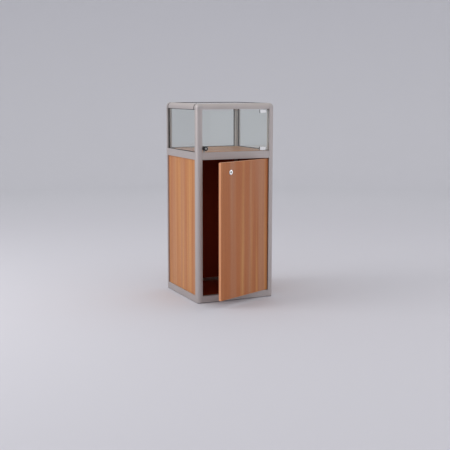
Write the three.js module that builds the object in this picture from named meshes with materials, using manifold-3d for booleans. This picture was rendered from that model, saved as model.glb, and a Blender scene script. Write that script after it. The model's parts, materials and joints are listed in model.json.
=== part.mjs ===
// Pedestal display case: a locked wooden cabinet below, a glazed display chamber above, both held by
// one frame of slotted aluminium profiles with rounded outer corners.
//
// Millimetres, +Z up. The origin is the middle of the footprint, on the floor; the doors face -Y.
// The cabinet door stands ajar, as in the photograph. The glass door is shut. Both locks are open.

import * as THREE from 'three';
import { mergeVertices } from 'three/addons/utils/BufferGeometryUtils.js';
import { RoundedBoxGeometry } from 'three/addons/geometries/RoundedBoxGeometry.js';
import Module from 'manifold-3d';

const wasm = await Module();
wasm.setup();

// ---------------------------------------------------------------- driving dimensions

const WIDTH = 470;              // across the front and, the same, front to back
const HEIGHT = 1100;
const HALF = WIDTH / 2;
const PROFILE = 32;             // the posts' side, and the depth of the top rails
const CORNER_RADIUS = 22;       // of the posts' outer corner and the top rails' outer edge
const TOP_RAIL_HEIGHT = 32;
const LOW_RAIL_HEIGHT = 40;     // of the middle rails, and from the floor to the top of the lowest rails
const MID_RAIL_TOP = 836;       // the deck is level with it
const GLIDE_HEIGHT = 3;
const FIT_GAP = 0.3;            // between pieces that touch

const WALL = 2.5;               // of the hollow profiles
const SLOT_START = 7;           // from a profile's outer face to its glazing slot
const SLOT_WIDTH = 9;
const SLOT_DEPTH = 9;
const RAIL_BOX = 24;            // depth of the closed part of a rail that has a ledge
const LEDGE = 3;                // thickness of the ledge that carries the deck or the floor

const BOARD = 16;               // chipboard of the door, the deck and the cabinet floor
const PANEL = 8;                // chipboard of the cabinet's fixed sides
const PANE = 4;                 // glass of the fixed panes
const PANE_INSERT = 7.2;        // how far a pane goes into its slots
const PANEL_INSERT = 7.5;
const TOP_REBATE = 7;           // width of the top rails' seat for the top glass
const TOP_REBATE_DEPTH = 7.6;   // the glass lies a little below the rails' tops, inside its rubber's rim

const DOOR_AJAR_DEGREES = 24.3; // of the cabinet door, as photographed
const DOOR_SIDE_GAP = 2;        // beside the free edges
const DOOR_HINGE_GAP = 3;       // beside the hinge edge, which swings out as the door turns
const DOOR_GAP_BELOW = 1.8;     // room for a washer under the cabinet door
const DOOR_GAP_ABOVE = 5;
const DOOR_PIN_FROM_EDGE = 12;
const DOOR_PIN_RADIUS = 3;
const DOOR_PIN_BORE = 13;       // depth of the pin's bore in the door's edge
const DOOR_LOCK_FROM_EDGE = 80;
const DOOR_LOCK_BELOW_TOP = 55;

const DOOR_GLASS = 5;
const DOOR_GLASS_FROM_FRONT = 4;
const DOOR_GLASS_END_GAP = 6.5; // above and below the glass, where the hinge clamps wrap round it
const GLASS_HINGE_EDGE_GAP = 2.5;
const GLASS_LOCK_FROM_POST = 14.5;
const GLASS_LOCK_ABOVE_RAIL = 22;
const CLAMP_WIDTH = 36;
const CLAMP_HEIGHT = 19;
const CLAMP_FROM_POST = 21;
const CLAMP_PIN_FROM_END = 7;
const CLAMP_PIN_RADIUS = 2;
const CLAMP_SKIN = 2.5;

// ---------------------------------------------------------------- derived places

const POST_INNER = HALF - PROFILE;
const SLOT_END = SLOT_START + SLOT_WIDTH;
const SLOT_MIDDLE = SLOT_START + SLOT_WIDTH / 2;
const SLOT_BOTTOM = POST_INNER + SLOT_DEPTH;
const TOP_RAIL_BOTTOM = HEIGHT - TOP_RAIL_HEIGHT;
const MID_RAIL_BOTTOM = MID_RAIL_TOP - LOW_RAIL_HEIGHT;
const PIVOT_Y = -HALF + SLOT_MIDDLE;

// ---------------------------------------------------------------- finishes

function finish(color, roughness, metalness, opacity = 1) {
  return new THREE.MeshStandardMaterial({ color, roughness, metalness, opacity, transparent: opacity < 1 });
}

const ALUMINIUM = finish(0xa6a3a0, 0.4, 0.9);
const CAST_ALUMINIUM = finish(0xa09d9a, 0.45, 0.85);
const BEECH = finish(0xa9764f, 0.5, 0);
const GLASS = finish(0xd6e2e0, 0.03, 0, 0.25);
const SEAL = finish(0x2b2a29, 0.8, 0);
const CHROME = finish(0xd8d8d8, 0.15, 1);
const STEEL = finish(0x8e8e8c, 0.35, 1);
const BLACK_PLASTIC = finish(0x1d1d1e, 0.4, 0);
const NYLON = finish(0x3a3a3b, 0.6, 0);

// ---------------------------------------------------------------- solids and meshes

function toSolid(geometry) {
  const bare = new THREE.BufferGeometry();
  bare.setAttribute('position', geometry.getAttribute('position'));
  if (geometry.index) bare.setIndex(geometry.index);
  const merged = mergeVertices(bare, 1e-4);
  const vertProperties = new Float32Array(merged.getAttribute('position').array);
  const triVerts = new Uint32Array(merged.index.array);
  return new wasm.Manifold(new wasm.Mesh({ numProp: 3, vertProperties, triVerts }));
}

function toGeometry(solid) {
  const { vertProperties, triVerts } = solid.getMesh();
  const geometry = new THREE.BufferGeometry();
  geometry.setAttribute('position', new THREE.BufferAttribute(vertProperties, 3));
  geometry.setIndex(new THREE.BufferAttribute(triVerts, 1));
  geometry.computeVertexNormals();
  return geometry;
}

function box([x0, x1], [y0, y1], [z0, z1]) {
  const geometry = new THREE.BoxGeometry(x1 - x0, y1 - y0, z1 - z0);
  return toSolid(geometry.translate((x0 + x1) / 2, (y0 + y1) / 2, (z0 + z1) / 2));
}

function uprightRod(radius, x, y, [z0, z1], sides = 32) {
  const geometry = new THREE.CylinderGeometry(radius, radius, z1 - z0, sides).rotateX(Math.PI / 2);
  return toSolid(geometry.translate(x, y, (z0 + z1) / 2));
}

function crosswiseRod(radius, x, [y0, y1], z, sides = 32) {
  const geometry = new THREE.CylinderGeometry(radius, radius, y1 - y0, sides);
  return toSolid(geometry.translate(x, (y0 + y1) / 2, z));
}

function outline(points) {
  return new THREE.Shape(points.map(([x, y]) => new THREE.Vector2(x, y)));
}

function rectangle([x0, x1], [y0, y1]) {
  return outline([[x0, y0], [x1, y0], [x1, y1], [x0, y1]]);
}

function extruded(section, depth, curveSegments = 10) {
  return new THREE.ExtrudeGeometry(section, { depth, bevelEnabled: false, curveSegments });
}

// A section drawn in Y and Z, run along X and centred on it.
function runAlongX(section, length) {
  const turn = new THREE.Matrix4().makeBasis(
    new THREE.Vector3(0, 1, 0), new THREE.Vector3(0, 0, 1), new THREE.Vector3(1, 0, 0));
  return extruded(section, length).applyMatrix4(turn).translate(-length / 2, 0, 0);
}

// A section drawn in X and Y, run upwards.
function runUp(section, [z0, z1]) {
  return extruded(section, z1 - z0).translate(0, 0, z0);
}

function addMesh(group, name, shape, material) {
  const geometry = shape.isBufferGeometry ? shape : toGeometry(shape);
  const mesh = new THREE.Mesh(geometry, material);
  mesh.name = name;
  group.add(mesh);
  return mesh;
}

// ---------------------------------------------------------------- the case and its four sides

const displayCase = new THREE.Group();

// Each side is drawn as the front is, and turned about the middle of the case.
const SIDES = {
  front: { turn: 0 },
  right: { turn: Math.PI / 2 },
  rear: { turn: Math.PI },
  left: { turn: -Math.PI / 2 },
};
for (const side of Object.values(SIDES)) {
  side.group = new THREE.Group();
  side.group.rotation.z = side.turn;
  displayCase.add(side.group);
}

const CORNERS = {
  front_left: { turn: 0, hand: 1 },
  front_right: { turn: 0, hand: -1 },
  rear_right: { turn: Math.PI, hand: 1 },
  rear_left: { turn: Math.PI, hand: -1 },
};

// ---------------------------------------------------------------- posts, corners and glides

// The front left post, seen from above, with its outer corner at the origin. The other posts
// are the same profile turned by quarter turns.
function postSection() {
  const section = new THREE.Shape();
  section.moveTo(PROFILE, 0);
  section.lineTo(PROFILE, SLOT_START);
  section.lineTo(PROFILE - SLOT_DEPTH, SLOT_START);
  section.lineTo(PROFILE - SLOT_DEPTH, SLOT_END);
  section.lineTo(PROFILE, SLOT_END);
  section.lineTo(PROFILE, PROFILE - 2);
  section.lineTo(PROFILE - 2, PROFILE);
  section.lineTo(SLOT_END, PROFILE);
  section.lineTo(SLOT_END, PROFILE - SLOT_DEPTH);
  section.lineTo(SLOT_START, PROFILE - SLOT_DEPTH);
  section.lineTo(SLOT_START, PROFILE);
  section.lineTo(0, PROFILE);
  section.absarc(CORNER_RADIUS, CORNER_RADIUS, CORNER_RADIUS, Math.PI, 1.5 * Math.PI, false);

  const chamberEnd = PROFILE - SLOT_DEPTH - WALL;
  const innerRadius = CORNER_RADIUS - WALL;
  const missed = Math.asin((CORNER_RADIUS - chamberEnd) / innerRadius);
  const arc = [Math.PI + missed, 1.5 * Math.PI - missed];
  const outerChamber = new THREE.Path();
  outerChamber.moveTo(chamberEnd, chamberEnd / 2);
  outerChamber.lineTo(chamberEnd, chamberEnd);
  outerChamber.absarc(CORNER_RADIUS, CORNER_RADIUS, innerRadius, ...arc, false);
  const core = [chamberEnd + WALL / 2, PROFILE - WALL];
  section.holes = [outerChamber, rectangle(core, core)];
  return section;
}

const POST_TURNS = { front_left: 0, front_right: Math.PI / 2, rear_right: Math.PI, rear_left: -Math.PI / 2 };

function addPosts() {
  const post = runUp(postSection(), [GLIDE_HEIGHT, TOP_RAIL_BOTTOM - FIT_GAP]).translate(-HALF, -HALF, 0);
  for (const [corner, turn] of Object.entries(POST_TURNS)) {
    addMesh(displayCase, `post_${corner}`, post, ALUMINIUM).rotation.z = turn;
  }
}

const CORNER_SIDE_ARM = 47;     // along the sides of the case; across the front it ends with the post
const TENON = 20;               // how far a corner reaches into each profile that it joins
const TENON_GAP = 0.6;
const RAIL_CHAMBER = {
  across: [9, PROFILE - WALL],
  up: [SLOT_DEPTH + WALL, TOP_RAIL_HEIGHT - TOP_REBATE_DEPTH - WALL],
};

function inset([low, high], gap) {
  return [low + gap, high - gap];
}

// A cast corner at the top of a post: a rounded block with a tenon into the post and into each
// top rail. `hand` is 1 for the front left corner and -1 for its mirror image.
function topCorner(hand) {
  const along = (range) => (hand > 0 ? range : [-range[1], -range[0]]);
  const at = (range, offset = HALF) => range.map((distance) => distance - offset);
  const acrossX = (range) => along(at(range));
  const acrossY = (range) => at(range);
  const height = (range) => range.map((distance) => TOP_RAIL_BOTTOM + distance);

  const envelope = new RoundedBoxGeometry(WIDTH, WIDTH, 2 * HEIGHT, 10, CORNER_RADIUS);
  const block = box(acrossX([0, PROFILE]), acrossY([0, CORNER_SIDE_ARM]), height([0, TOP_RAIL_HEIGHT]))
    .intersect(toSolid(envelope));

  const seat = [HALF - PROFILE + TOP_REBATE, TOP_RAIL_HEIGHT - TOP_REBATE_DEPTH];
  const glassSeat = box([-seat[0], seat[0]], [-seat[0], seat[0]], height([seat[1], TOP_RAIL_HEIGHT + 1]));
  const sideSlot = box(acrossX([SLOT_START, SLOT_END]), acrossY([PROFILE - SLOT_DEPTH, CORNER_SIDE_ARM + 1]),
    height([-1, SLOT_DEPTH]));
  const frontSlot = box(acrossX([PROFILE - SLOT_DEPTH, PROFILE + 1]), acrossY([SLOT_START, SLOT_END]),
    height([-1, SLOT_DEPTH]));

  const { across, up } = RAIL_CHAMBER;
  const postTenon = [9.5, PROFILE - SLOT_DEPTH - WALL - TENON_GAP];
  const intoPost = box(acrossX(postTenon), acrossY(postTenon), height([-TENON, 1]));
  const intoFront = box(acrossX([PROFILE - 1, PROFILE + TENON]), acrossY(inset(across, TENON_GAP)),
    height(inset(up, TENON_GAP)));
  const pastSideArm = [CORNER_SIDE_ARM - 1, CORNER_SIDE_ARM + TENON];
  const intoSide = box(acrossX(inset(across, TENON_GAP)), acrossY(pastSideArm), height(inset(up, TENON_GAP)));

  return block.subtract(glassSeat).subtract(sideSlot).subtract(frontSlot)
    .add(intoPost).add(intoFront).add(intoSide);
}

const GLIDE_CENTRE = 15;        // from the post's outer faces
const GLIDE_RADIUS = 11;
const GLIDE_STEM_RADIUS = 4.5;
const GLIDE_STEM = 14;

function addCornersAndGlides() {
  for (const [corner, { turn, hand }] of Object.entries(CORNERS)) {
    addMesh(displayCase, `top_corner_${corner}`, topCorner(hand), CAST_ALUMINIUM).rotation.z = turn;

    const x = hand * (GLIDE_CENTRE - HALF);
    const y = GLIDE_CENTRE - HALF;
    const foot = uprightRod(GLIDE_RADIUS, x, y, [0, GLIDE_HEIGHT - FIT_GAP]);
    const stem = uprightRod(GLIDE_STEM_RADIUS, x, y, [1, GLIDE_STEM], 24);
    addMesh(displayCase, `glide_${corner}`, foot.add(stem), BLACK_PLASTIC).rotation.z = turn;
  }
}

// ---------------------------------------------------------------- rails
// A rail's section has its outer face at y = 0 and its underside at z = 0.

function topRailSection() {
  const seat = TOP_RAIL_HEIGHT - TOP_REBATE_DEPTH;
  const section = new THREE.Shape();
  section.moveTo(0, 0);
  section.lineTo(SLOT_START, 0);
  section.lineTo(SLOT_START, SLOT_DEPTH);
  section.lineTo(SLOT_END, SLOT_DEPTH);
  section.lineTo(SLOT_END, 0);
  section.lineTo(PROFILE, 0);
  section.lineTo(PROFILE, seat);
  section.lineTo(PROFILE - TOP_REBATE, seat);
  section.lineTo(PROFILE - TOP_REBATE, TOP_RAIL_HEIGHT);
  section.absarc(CORNER_RADIUS, TOP_RAIL_HEIGHT - CORNER_RADIUS, CORNER_RADIUS, Math.PI / 2, Math.PI, false);
  section.holes = [rectangle(RAIL_CHAMBER.across, RAIL_CHAMBER.up)];
  return section;
}

// The middle rail has a slot above for the glass and one below for the cabinet's panel.
function midRailSection() {
  const ledgeTop = LOW_RAIL_HEIGHT - BOARD - FIT_GAP;
  const section = outline([
    [0, 0], [SLOT_START, 0], [SLOT_START, SLOT_DEPTH], [SLOT_END, SLOT_DEPTH], [SLOT_END, 0],
    [RAIL_BOX, 0], [RAIL_BOX, ledgeTop - LEDGE], [PROFILE, ledgeTop - LEDGE],
    [PROFILE, ledgeTop], [RAIL_BOX, ledgeTop], [RAIL_BOX, LOW_RAIL_HEIGHT],
    [SLOT_END, LOW_RAIL_HEIGHT], [SLOT_END, LOW_RAIL_HEIGHT - SLOT_DEPTH],
    [SLOT_START, LOW_RAIL_HEIGHT - SLOT_DEPTH], [SLOT_START, LOW_RAIL_HEIGHT], [0, LOW_RAIL_HEIGHT],
  ]);
  const clear = SLOT_DEPTH + WALL;
  section.holes = [rectangle([WALL, RAIL_BOX - WALL], [clear, LOW_RAIL_HEIGHT - clear])];
  return section;
}

function bottomRailSection() {
  const height = LOW_RAIL_HEIGHT - GLIDE_HEIGHT;
  const section = outline([
    [0, 0], [PROFILE, 0], [PROFILE, LEDGE], [RAIL_BOX, LEDGE], [RAIL_BOX, height],
    [SLOT_END, height], [SLOT_END, height - SLOT_DEPTH],
    [SLOT_START, height - SLOT_DEPTH], [SLOT_START, height], [0, height],
  ]);
  section.holes = [rectangle([WALL, RAIL_BOX - WALL], [WALL, height - SLOT_DEPTH - WALL])];
  return section;
}

function addRails() {
  const betweenPosts = 2 * (POST_INNER - FIT_GAP);
  const betweenArms = 2 * (HALF - CORNER_SIDE_ARM - FIT_GAP);
  for (const [side, { group }] of Object.entries(SIDES)) {
    const isCrosswise = side === 'front' || side === 'rear';
    const topLength = isCrosswise ? betweenPosts : betweenArms;
    const topRail = runAlongX(topRailSection(), topLength).translate(0, -HALF, TOP_RAIL_BOTTOM);
    const midRail = runAlongX(midRailSection(), betweenPosts).translate(0, -HALF, MID_RAIL_BOTTOM);
    const bottomRail = runAlongX(bottomRailSection(), betweenPosts).translate(0, -HALF, GLIDE_HEIGHT);
    addMesh(group, `top_rail_${side}`, topRail, ALUMINIUM);
    addMesh(group, `mid_rail_${side}`, midRail, ALUMINIUM);
    addMesh(group, `bottom_rail_${side}`, bottomRail, ALUMINIUM);
  }
}

// ---------------------------------------------------------------- deck, floor, panels and panes

// A square board on the rails' ledges, notched round the four posts.
function ledgeBoard(underside) {
  const reach = HALF - RAIL_BOX - FIT_GAP;
  const notch = POST_INNER - FIT_GAP;
  const section = outline([
    [-notch, -reach], [notch, -reach], [notch, -notch], [reach, -notch], [reach, notch], [notch, notch],
    [notch, reach], [-notch, reach], [-notch, notch], [-reach, notch], [-reach, -notch], [-notch, -notch],
  ]);
  return runUp(section, [underside, underside + BOARD]);
}

function slottedSheet(thickness, insert, bottom, top) {
  const reach = POST_INNER + insert;
  const middle = -HALF + SLOT_MIDDLE;
  const faces = [middle - thickness / 2, middle + thickness / 2];
  return box([-reach, reach], faces, [bottom - insert, top + insert]);
}

const SEAL_LIP = 3;             // how far a seal stands out of its slot
const SEAL_WEB = 1;             // of the seal, round the pane's edge

// The black rubber channel that runs round a pane and fills its slots.
function paneSeal(bottom, top) {
  const outer = PANE_INSERT + SEAL_WEB + FIT_GAP;
  const ring = slottedSheet(SLOT_WIDTH - 2 * FIT_GAP, outer, bottom, top);
  const daylight = slottedSheet(SLOT_WIDTH + 2, -SEAL_LIP, bottom, top);
  const paneRoom = slottedSheet(PANE + 2 * FIT_GAP, PANE_INSERT + FIT_GAP, bottom, top);
  return ring.subtract(daylight).subtract(paneRoom);
}

const TOP_SEAL = 1.2;           // of the rubber under the top glass
const TOP_SEAL_RIM = 1.6;       // of its rim round the top glass's edge

function addFilling() {
  const ledgeBottom = GLIDE_HEIGHT + LEDGE + FIT_GAP;
  addMesh(displayCase, 'cabinet_floor', ledgeBoard(ledgeBottom), BEECH);
  addMesh(displayCase, 'display_deck', ledgeBoard(MID_RAIL_TOP - BOARD), BEECH);

  for (const side of ['left', 'right', 'rear']) {
    const { group } = SIDES[side];
    const panel = slottedSheet(PANEL, PANEL_INSERT, LOW_RAIL_HEIGHT, MID_RAIL_BOTTOM);
    addMesh(group, `cabinet_panel_${side}`, panel, BEECH);
    const pane = slottedSheet(PANE, PANE_INSERT, MID_RAIL_TOP, TOP_RAIL_BOTTOM);
    addMesh(group, `glass_pane_${side}`, pane, GLASS);
    addMesh(group, `pane_seal_${side}`, paneSeal(MID_RAIL_TOP, TOP_RAIL_BOTTOM), SEAL);
  }

  addTopGlass();
}

// The top glass, in a rubber ring that lies under its edge and stands up round it.
function addTopGlass() {
  const square = (half) => [[-half, half], [-half, half]];
  const seat = HEIGHT - TOP_REBATE_DEPTH;
  const sealTop = seat + FIT_GAP + TOP_SEAL;
  const sealReach = POST_INNER + TOP_REBATE - FIT_GAP;
  const room = sealReach - TOP_SEAL_RIM;
  const seal = box(...square(sealReach), [seat + FIT_GAP, HEIGHT - FIT_GAP / 2])
    .subtract(box(...square(room), [sealTop, HEIGHT]))
    .subtract(box(...square(POST_INNER + 1), [seat, HEIGHT]));
  const underside = sealTop + FIT_GAP;
  addMesh(displayCase, 'top_glass_seal', seal, SEAL);
  addMesh(displayCase, 'top_glass', box(...square(room - FIT_GAP), [underside, underside + PANE]), GLASS);
}

// ---------------------------------------------------------------- pivots in the rails' slots

const PIVOT_BLOCK_LENGTH = 30;

// A nylon block pressed into a slot, bored for a door's pin.
function pivotBlock(pinX, pinRadius, [z0, z1]) {
  const halfLength = PIVOT_BLOCK_LENGTH / 2;
  const halfWidth = SLOT_WIDTH / 2 - FIT_GAP;
  const height = inset([z0, z1], FIT_GAP);
  const room = box([pinX - halfLength, Math.min(pinX + halfLength, POST_INNER - 1)],
    [PIVOT_Y - halfWidth, PIVOT_Y + halfWidth], height);
  return room.subtract(uprightRod(pinRadius + FIT_GAP, pinX, PIVOT_Y, [z0 - 1, z1 + 1], 24));
}

// ---------------------------------------------------------------- the cabinet door and its lock

const DOOR = {
  x: [-POST_INNER + DOOR_SIDE_GAP, POST_INNER - DOOR_HINGE_GAP],
  y: [PIVOT_Y - BOARD / 2, PIVOT_Y + BOARD / 2],
  z: [LOW_RAIL_HEIGHT + DOOR_GAP_BELOW, MID_RAIL_BOTTOM - DOOR_GAP_ABOVE],
};
const DOOR_PIVOT_X = DOOR.x[1] - DOOR_PIN_FROM_EDGE;
const DOOR_WASHER_RADIUS = 7;
const LOCK_BARREL_RADIUS = 9.5;
const LOCK_PLUG_RADIUS = 6.5;
const LOCK_FLANGE_RADIUS = 14;
const LOCK_FLANGE = 2.5;
const LOCK_NUT_RADIUS = 13.5;
const LOCK_X = DOOR.x[0] + DOOR_LOCK_FROM_EDGE;
const LOCK_Z = DOOR.z[1] - DOOR_LOCK_BELOW_TOP;
const LOCK_CAM_PLANE = -HALF + RAIL_BOX + FIT_GAP;  // just behind the middle rail's closed part
const LOCK_CAM = 2.5;                               // thickness of the cam
const LOCK_CAM_REACH = 66;
const LOCK_CAM_WIDTH = 14;
const LOCK_TENON = 3.5;                             // half the side of the plug's square end
const LOCK_SCREW_RADIUS = 1.5;
const LOCK_SCREW_HEAD = { radius: 5, height: 2 };
const LOCK_PLUG_PROUD = 0.8;
const KEYWAY = [1.1, 7];                            // width and height of the slot for the key

// A flat tongue in the XZ plane: round at the lock, tapering to a square tip at `reach` along X.
function tongueSection(reach, width) {
  const half = width / 2;
  const section = new THREE.Shape();
  section.moveTo(reach, -0.7 * half);
  section.lineTo(reach, 0.7 * half);
  section.absarc(0, 0, half, Math.PI / 2, 1.5 * Math.PI, false);
  return section;
}

// The tongue turned so that it points down or sideways, pierced for the plug's square end.
function lockTongue(reach, width, [y0, y1], tenon, turn, x, z) {
  const geometry = extruded(tongueSection(reach, width), y1 - y0, 8);
  geometry.rotateZ(turn).rotateX(Math.PI / 2).translate(x, y1, z);
  const hole = tenon + FIT_GAP;
  return toSolid(geometry).subtract(box([x - hole, x + hole], [y0 - 1, y1 + 1], [z - hole, z + hole]));
}

function addCabinetDoor() {
  const swing = new THREE.Group();
  swing.position.set(DOOR_PIVOT_X, PIVOT_Y, 0);
  swing.rotation.z = THREE.MathUtils.degToRad(DOOR_AJAR_DEGREES);
  displayCase.add(swing);
  const door = new THREE.Group();
  door.position.set(-DOOR_PIVOT_X, -PIVOT_Y, 0);
  swing.add(door);

  const [bottom, top] = DOOR.z;
  const bore = (range) => uprightRod(DOOR_PIN_RADIUS + FIT_GAP, DOOR_PIVOT_X, PIVOT_Y, range, 24);
  const leaf = box(DOOR.x, DOOR.y, DOOR.z)
    .subtract(bore([bottom - 1, bottom + DOOR_PIN_BORE]))
    .subtract(bore([top - DOOR_PIN_BORE, top + 1]))
    .subtract(crosswiseRod(LOCK_BARREL_RADIUS + FIT_GAP, LOCK_X, [DOOR.y[0] - 1, DOOR.y[1] + 1], LOCK_Z));
  addMesh(door, 'cabinet_door', leaf, BEECH);

  const pin = (range) => uprightRod(DOOR_PIN_RADIUS, DOOR_PIVOT_X, PIVOT_Y, range, 24);
  const slotFloor = LOW_RAIL_HEIGHT - SLOT_DEPTH + 2 * FIT_GAP;
  const slotRoof = MID_RAIL_BOTTOM + SLOT_DEPTH - 2 * FIT_GAP;
  addMesh(door, 'cabinet_door_pin_lower', pin([slotFloor, bottom + DOOR_PIN_BORE - 1]), STEEL);
  addMesh(door, 'cabinet_door_pin_upper', pin([top - DOOR_PIN_BORE + 1, slotRoof]), STEEL);

  addCabinetLock(door);

  const block = (slot) => pivotBlock(DOOR_PIVOT_X, DOOR_PIN_RADIUS, slot);
  const lowerSlot = [LOW_RAIL_HEIGHT - SLOT_DEPTH, LOW_RAIL_HEIGHT];
  const upperSlot = [MID_RAIL_BOTTOM, MID_RAIL_BOTTOM + SLOT_DEPTH];
  addMesh(displayCase, 'cabinet_pivot_block_lower', block(lowerSlot), NYLON);
  addMesh(displayCase, 'cabinet_pivot_block_upper', block(upperSlot), NYLON);

  const washerHeight = inset([LOW_RAIL_HEIGHT, bottom], FIT_GAP);
  const washer = uprightRod(DOOR_WASHER_RADIUS, DOOR_PIVOT_X, PIVOT_Y, washerHeight, 24)
    .subtract(bore([0, 2 * bottom]));
  addMesh(displayCase, 'cabinet_door_washer', washer, NYLON);
}

function addCabinetLock(door) {
  const front = DOOR.y[0] - FIT_GAP;
  const back = DOOR.y[1] + FIT_GAP;
  const barrelEnd = LOCK_CAM_PLANE - FIT_GAP;
  const rod = (radius, range, sides) => crosswiseRod(radius, LOCK_X, range, LOCK_Z, sides);

  const boreForPlug = rod(LOCK_PLUG_RADIUS + FIT_GAP, [front - LOCK_FLANGE - 1, barrelEnd + 1]);
  const housing = rod(LOCK_FLANGE_RADIUS, [front - LOCK_FLANGE, front], 48)
    .add(rod(LOCK_BARREL_RADIUS, [front - 1, barrelEnd]))
    .subtract(boreForPlug);
  addMesh(door, 'cabinet_lock_housing', housing, CHROME);

  const nut = rod(LOCK_NUT_RADIUS, [back, barrelEnd - FIT_GAP], 6)
    .subtract(rod(LOCK_BARREL_RADIUS + FIT_GAP, [back - 1, barrelEnd + 1]));
  addMesh(door, 'cabinet_lock_nut', nut, STEEL);

  const plugFront = front - LOCK_FLANGE - LOCK_PLUG_PROUD;
  const tenonEnd = LOCK_CAM_PLANE + LOCK_CAM + FIT_GAP;
  const square = (centre, half) => [centre - half, centre + half];
  const [keyWidth, keyHeight] = KEYWAY;
  const plug = rod(LOCK_PLUG_RADIUS, [plugFront, barrelEnd + 0.1])
    .add(box(square(LOCK_X, LOCK_TENON), [barrelEnd - 1, tenonEnd], square(LOCK_Z, LOCK_TENON)))
    .subtract(rod(LOCK_SCREW_RADIUS + FIT_GAP, [tenonEnd - 8, tenonEnd + 1], 16))
    .subtract(box(square(LOCK_X, keyWidth), [plugFront - 1, plugFront + 6], square(LOCK_Z, keyHeight / 2)));
  addMesh(door, 'cabinet_lock_plug', plug, STEEL);

  const cam = lockTongue(LOCK_CAM_REACH, LOCK_CAM_WIDTH, [LOCK_CAM_PLANE, LOCK_CAM_PLANE + LOCK_CAM],
    LOCK_TENON, 0, LOCK_X, LOCK_Z);
  addMesh(door, 'cabinet_lock_cam', cam, STEEL);

  const headBottom = tenonEnd + FIT_GAP;
  const screw = rod(LOCK_SCREW_HEAD.radius, [headBottom, headBottom + LOCK_SCREW_HEAD.height], 24)
    .add(rod(LOCK_SCREW_RADIUS, [tenonEnd - 6, tenonEnd + 1], 16));
  addMesh(door, 'cabinet_lock_screw', screw, STEEL);
}

// ---------------------------------------------------------------- the glass door and its lock

const GLASS_DOOR = {
  x: [-POST_INNER + 1.5, POST_INNER - GLASS_HINGE_EDGE_GAP],
  y: [-HALF + DOOR_GLASS_FROM_FRONT, -HALF + DOOR_GLASS_FROM_FRONT + DOOR_GLASS],
  z: [MID_RAIL_TOP + DOOR_GLASS_END_GAP, TOP_RAIL_BOTTOM - DOOR_GLASS_END_GAP],
};
const CLAMP_END = POST_INNER - CLAMP_FROM_POST;
const GLASS_PIVOT_X = CLAMP_END - CLAMP_PIN_FROM_END;
const GLASS_LOCK_X = -POST_INNER + GLASS_LOCK_FROM_POST;
const GLASS_LOCK_Z = MID_RAIL_TOP + GLASS_LOCK_ABOVE_RAIL;
const GLASS_LOCK_RADIUS = 12.5;
const GLASS_LOCK_PROJECTION = 20;
const GLASS_LOCK_BEVEL = 2;
const GLASS_LOCK_SHANK = 8.7;
const GLASS_LOCK_PLUG = 6;
const GLASS_LOCK_PLUG_PROUD = 0.6;
const GLASS_LOCK_NUT = 1.6;
const GLASS_LOCK_TENON = 3;
const GLASS_CAM_REACH = 19.5;
const GLASS_CAM_WIDTH = 12;
const GLASS_CAM = 2;

// A metal clamp that wraps the glass's end and carries the pin it swings on. `up` is 1 for the
// upper hinge and -1 for the lower one.
function hingeClamp(up) {
  const glassEnd = up > 0 ? GLASS_DOOR.z[1] : GLASS_DOOR.z[0];
  const away = (distances) => distances.map((distance) => glassEnd + up * distance).sort((a, b) => a - b);
  const [front, back] = GLASS_DOOR.y;
  const outside = [front - FIT_GAP - CLAMP_SKIN, PIVOT_Y + 4];
  const width = [CLAMP_END - CLAMP_WIDTH, CLAMP_END];
  const body = box(width, outside, away([FIT_GAP + CLAMP_SKIN - CLAMP_HEIGHT, FIT_GAP + CLAMP_SKIN]));
  const mouth = box([width[0] - 1, width[1] + 1], [front - FIT_GAP, back + FIT_GAP],
    away([-CLAMP_HEIGHT - 1, FIT_GAP]));
  const pinReach = DOOR_GLASS_END_GAP + SLOT_DEPTH - 2 * FIT_GAP - 1;
  const pin = uprightRod(CLAMP_PIN_RADIUS, GLASS_PIVOT_X, PIVOT_Y, away([1, pinReach]), 24);
  return body.subtract(mouth).add(pin);
}

// The front of the glass door's lock: a round case with a bevelled rim and a shank through the glass.
function glassLockCase() {
  const front = GLASS_DOOR.y[0] - FIT_GAP;
  const back = GLASS_DOOR.y[1] + FIT_GAP + GLASS_LOCK_NUT;
  const rim = GLASS_LOCK_RADIUS - GLASS_LOCK_BEVEL;
  const bore = GLASS_LOCK_PLUG + FIT_GAP;
  const face = front - GLASS_LOCK_PROJECTION;
  const profile = [
    [bore, back], [bore, face], [rim, face], [GLASS_LOCK_RADIUS, face + GLASS_LOCK_BEVEL],
    [GLASS_LOCK_RADIUS, front], [GLASS_LOCK_SHANK, front], [GLASS_LOCK_SHANK, back], [bore, back],
  ];
  const lathe = new THREE.LatheGeometry(profile.map(([r, y]) => new THREE.Vector2(r, y)), 48);
  return toSolid(lathe.translate(GLASS_LOCK_X, 0, GLASS_LOCK_Z));
}

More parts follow.
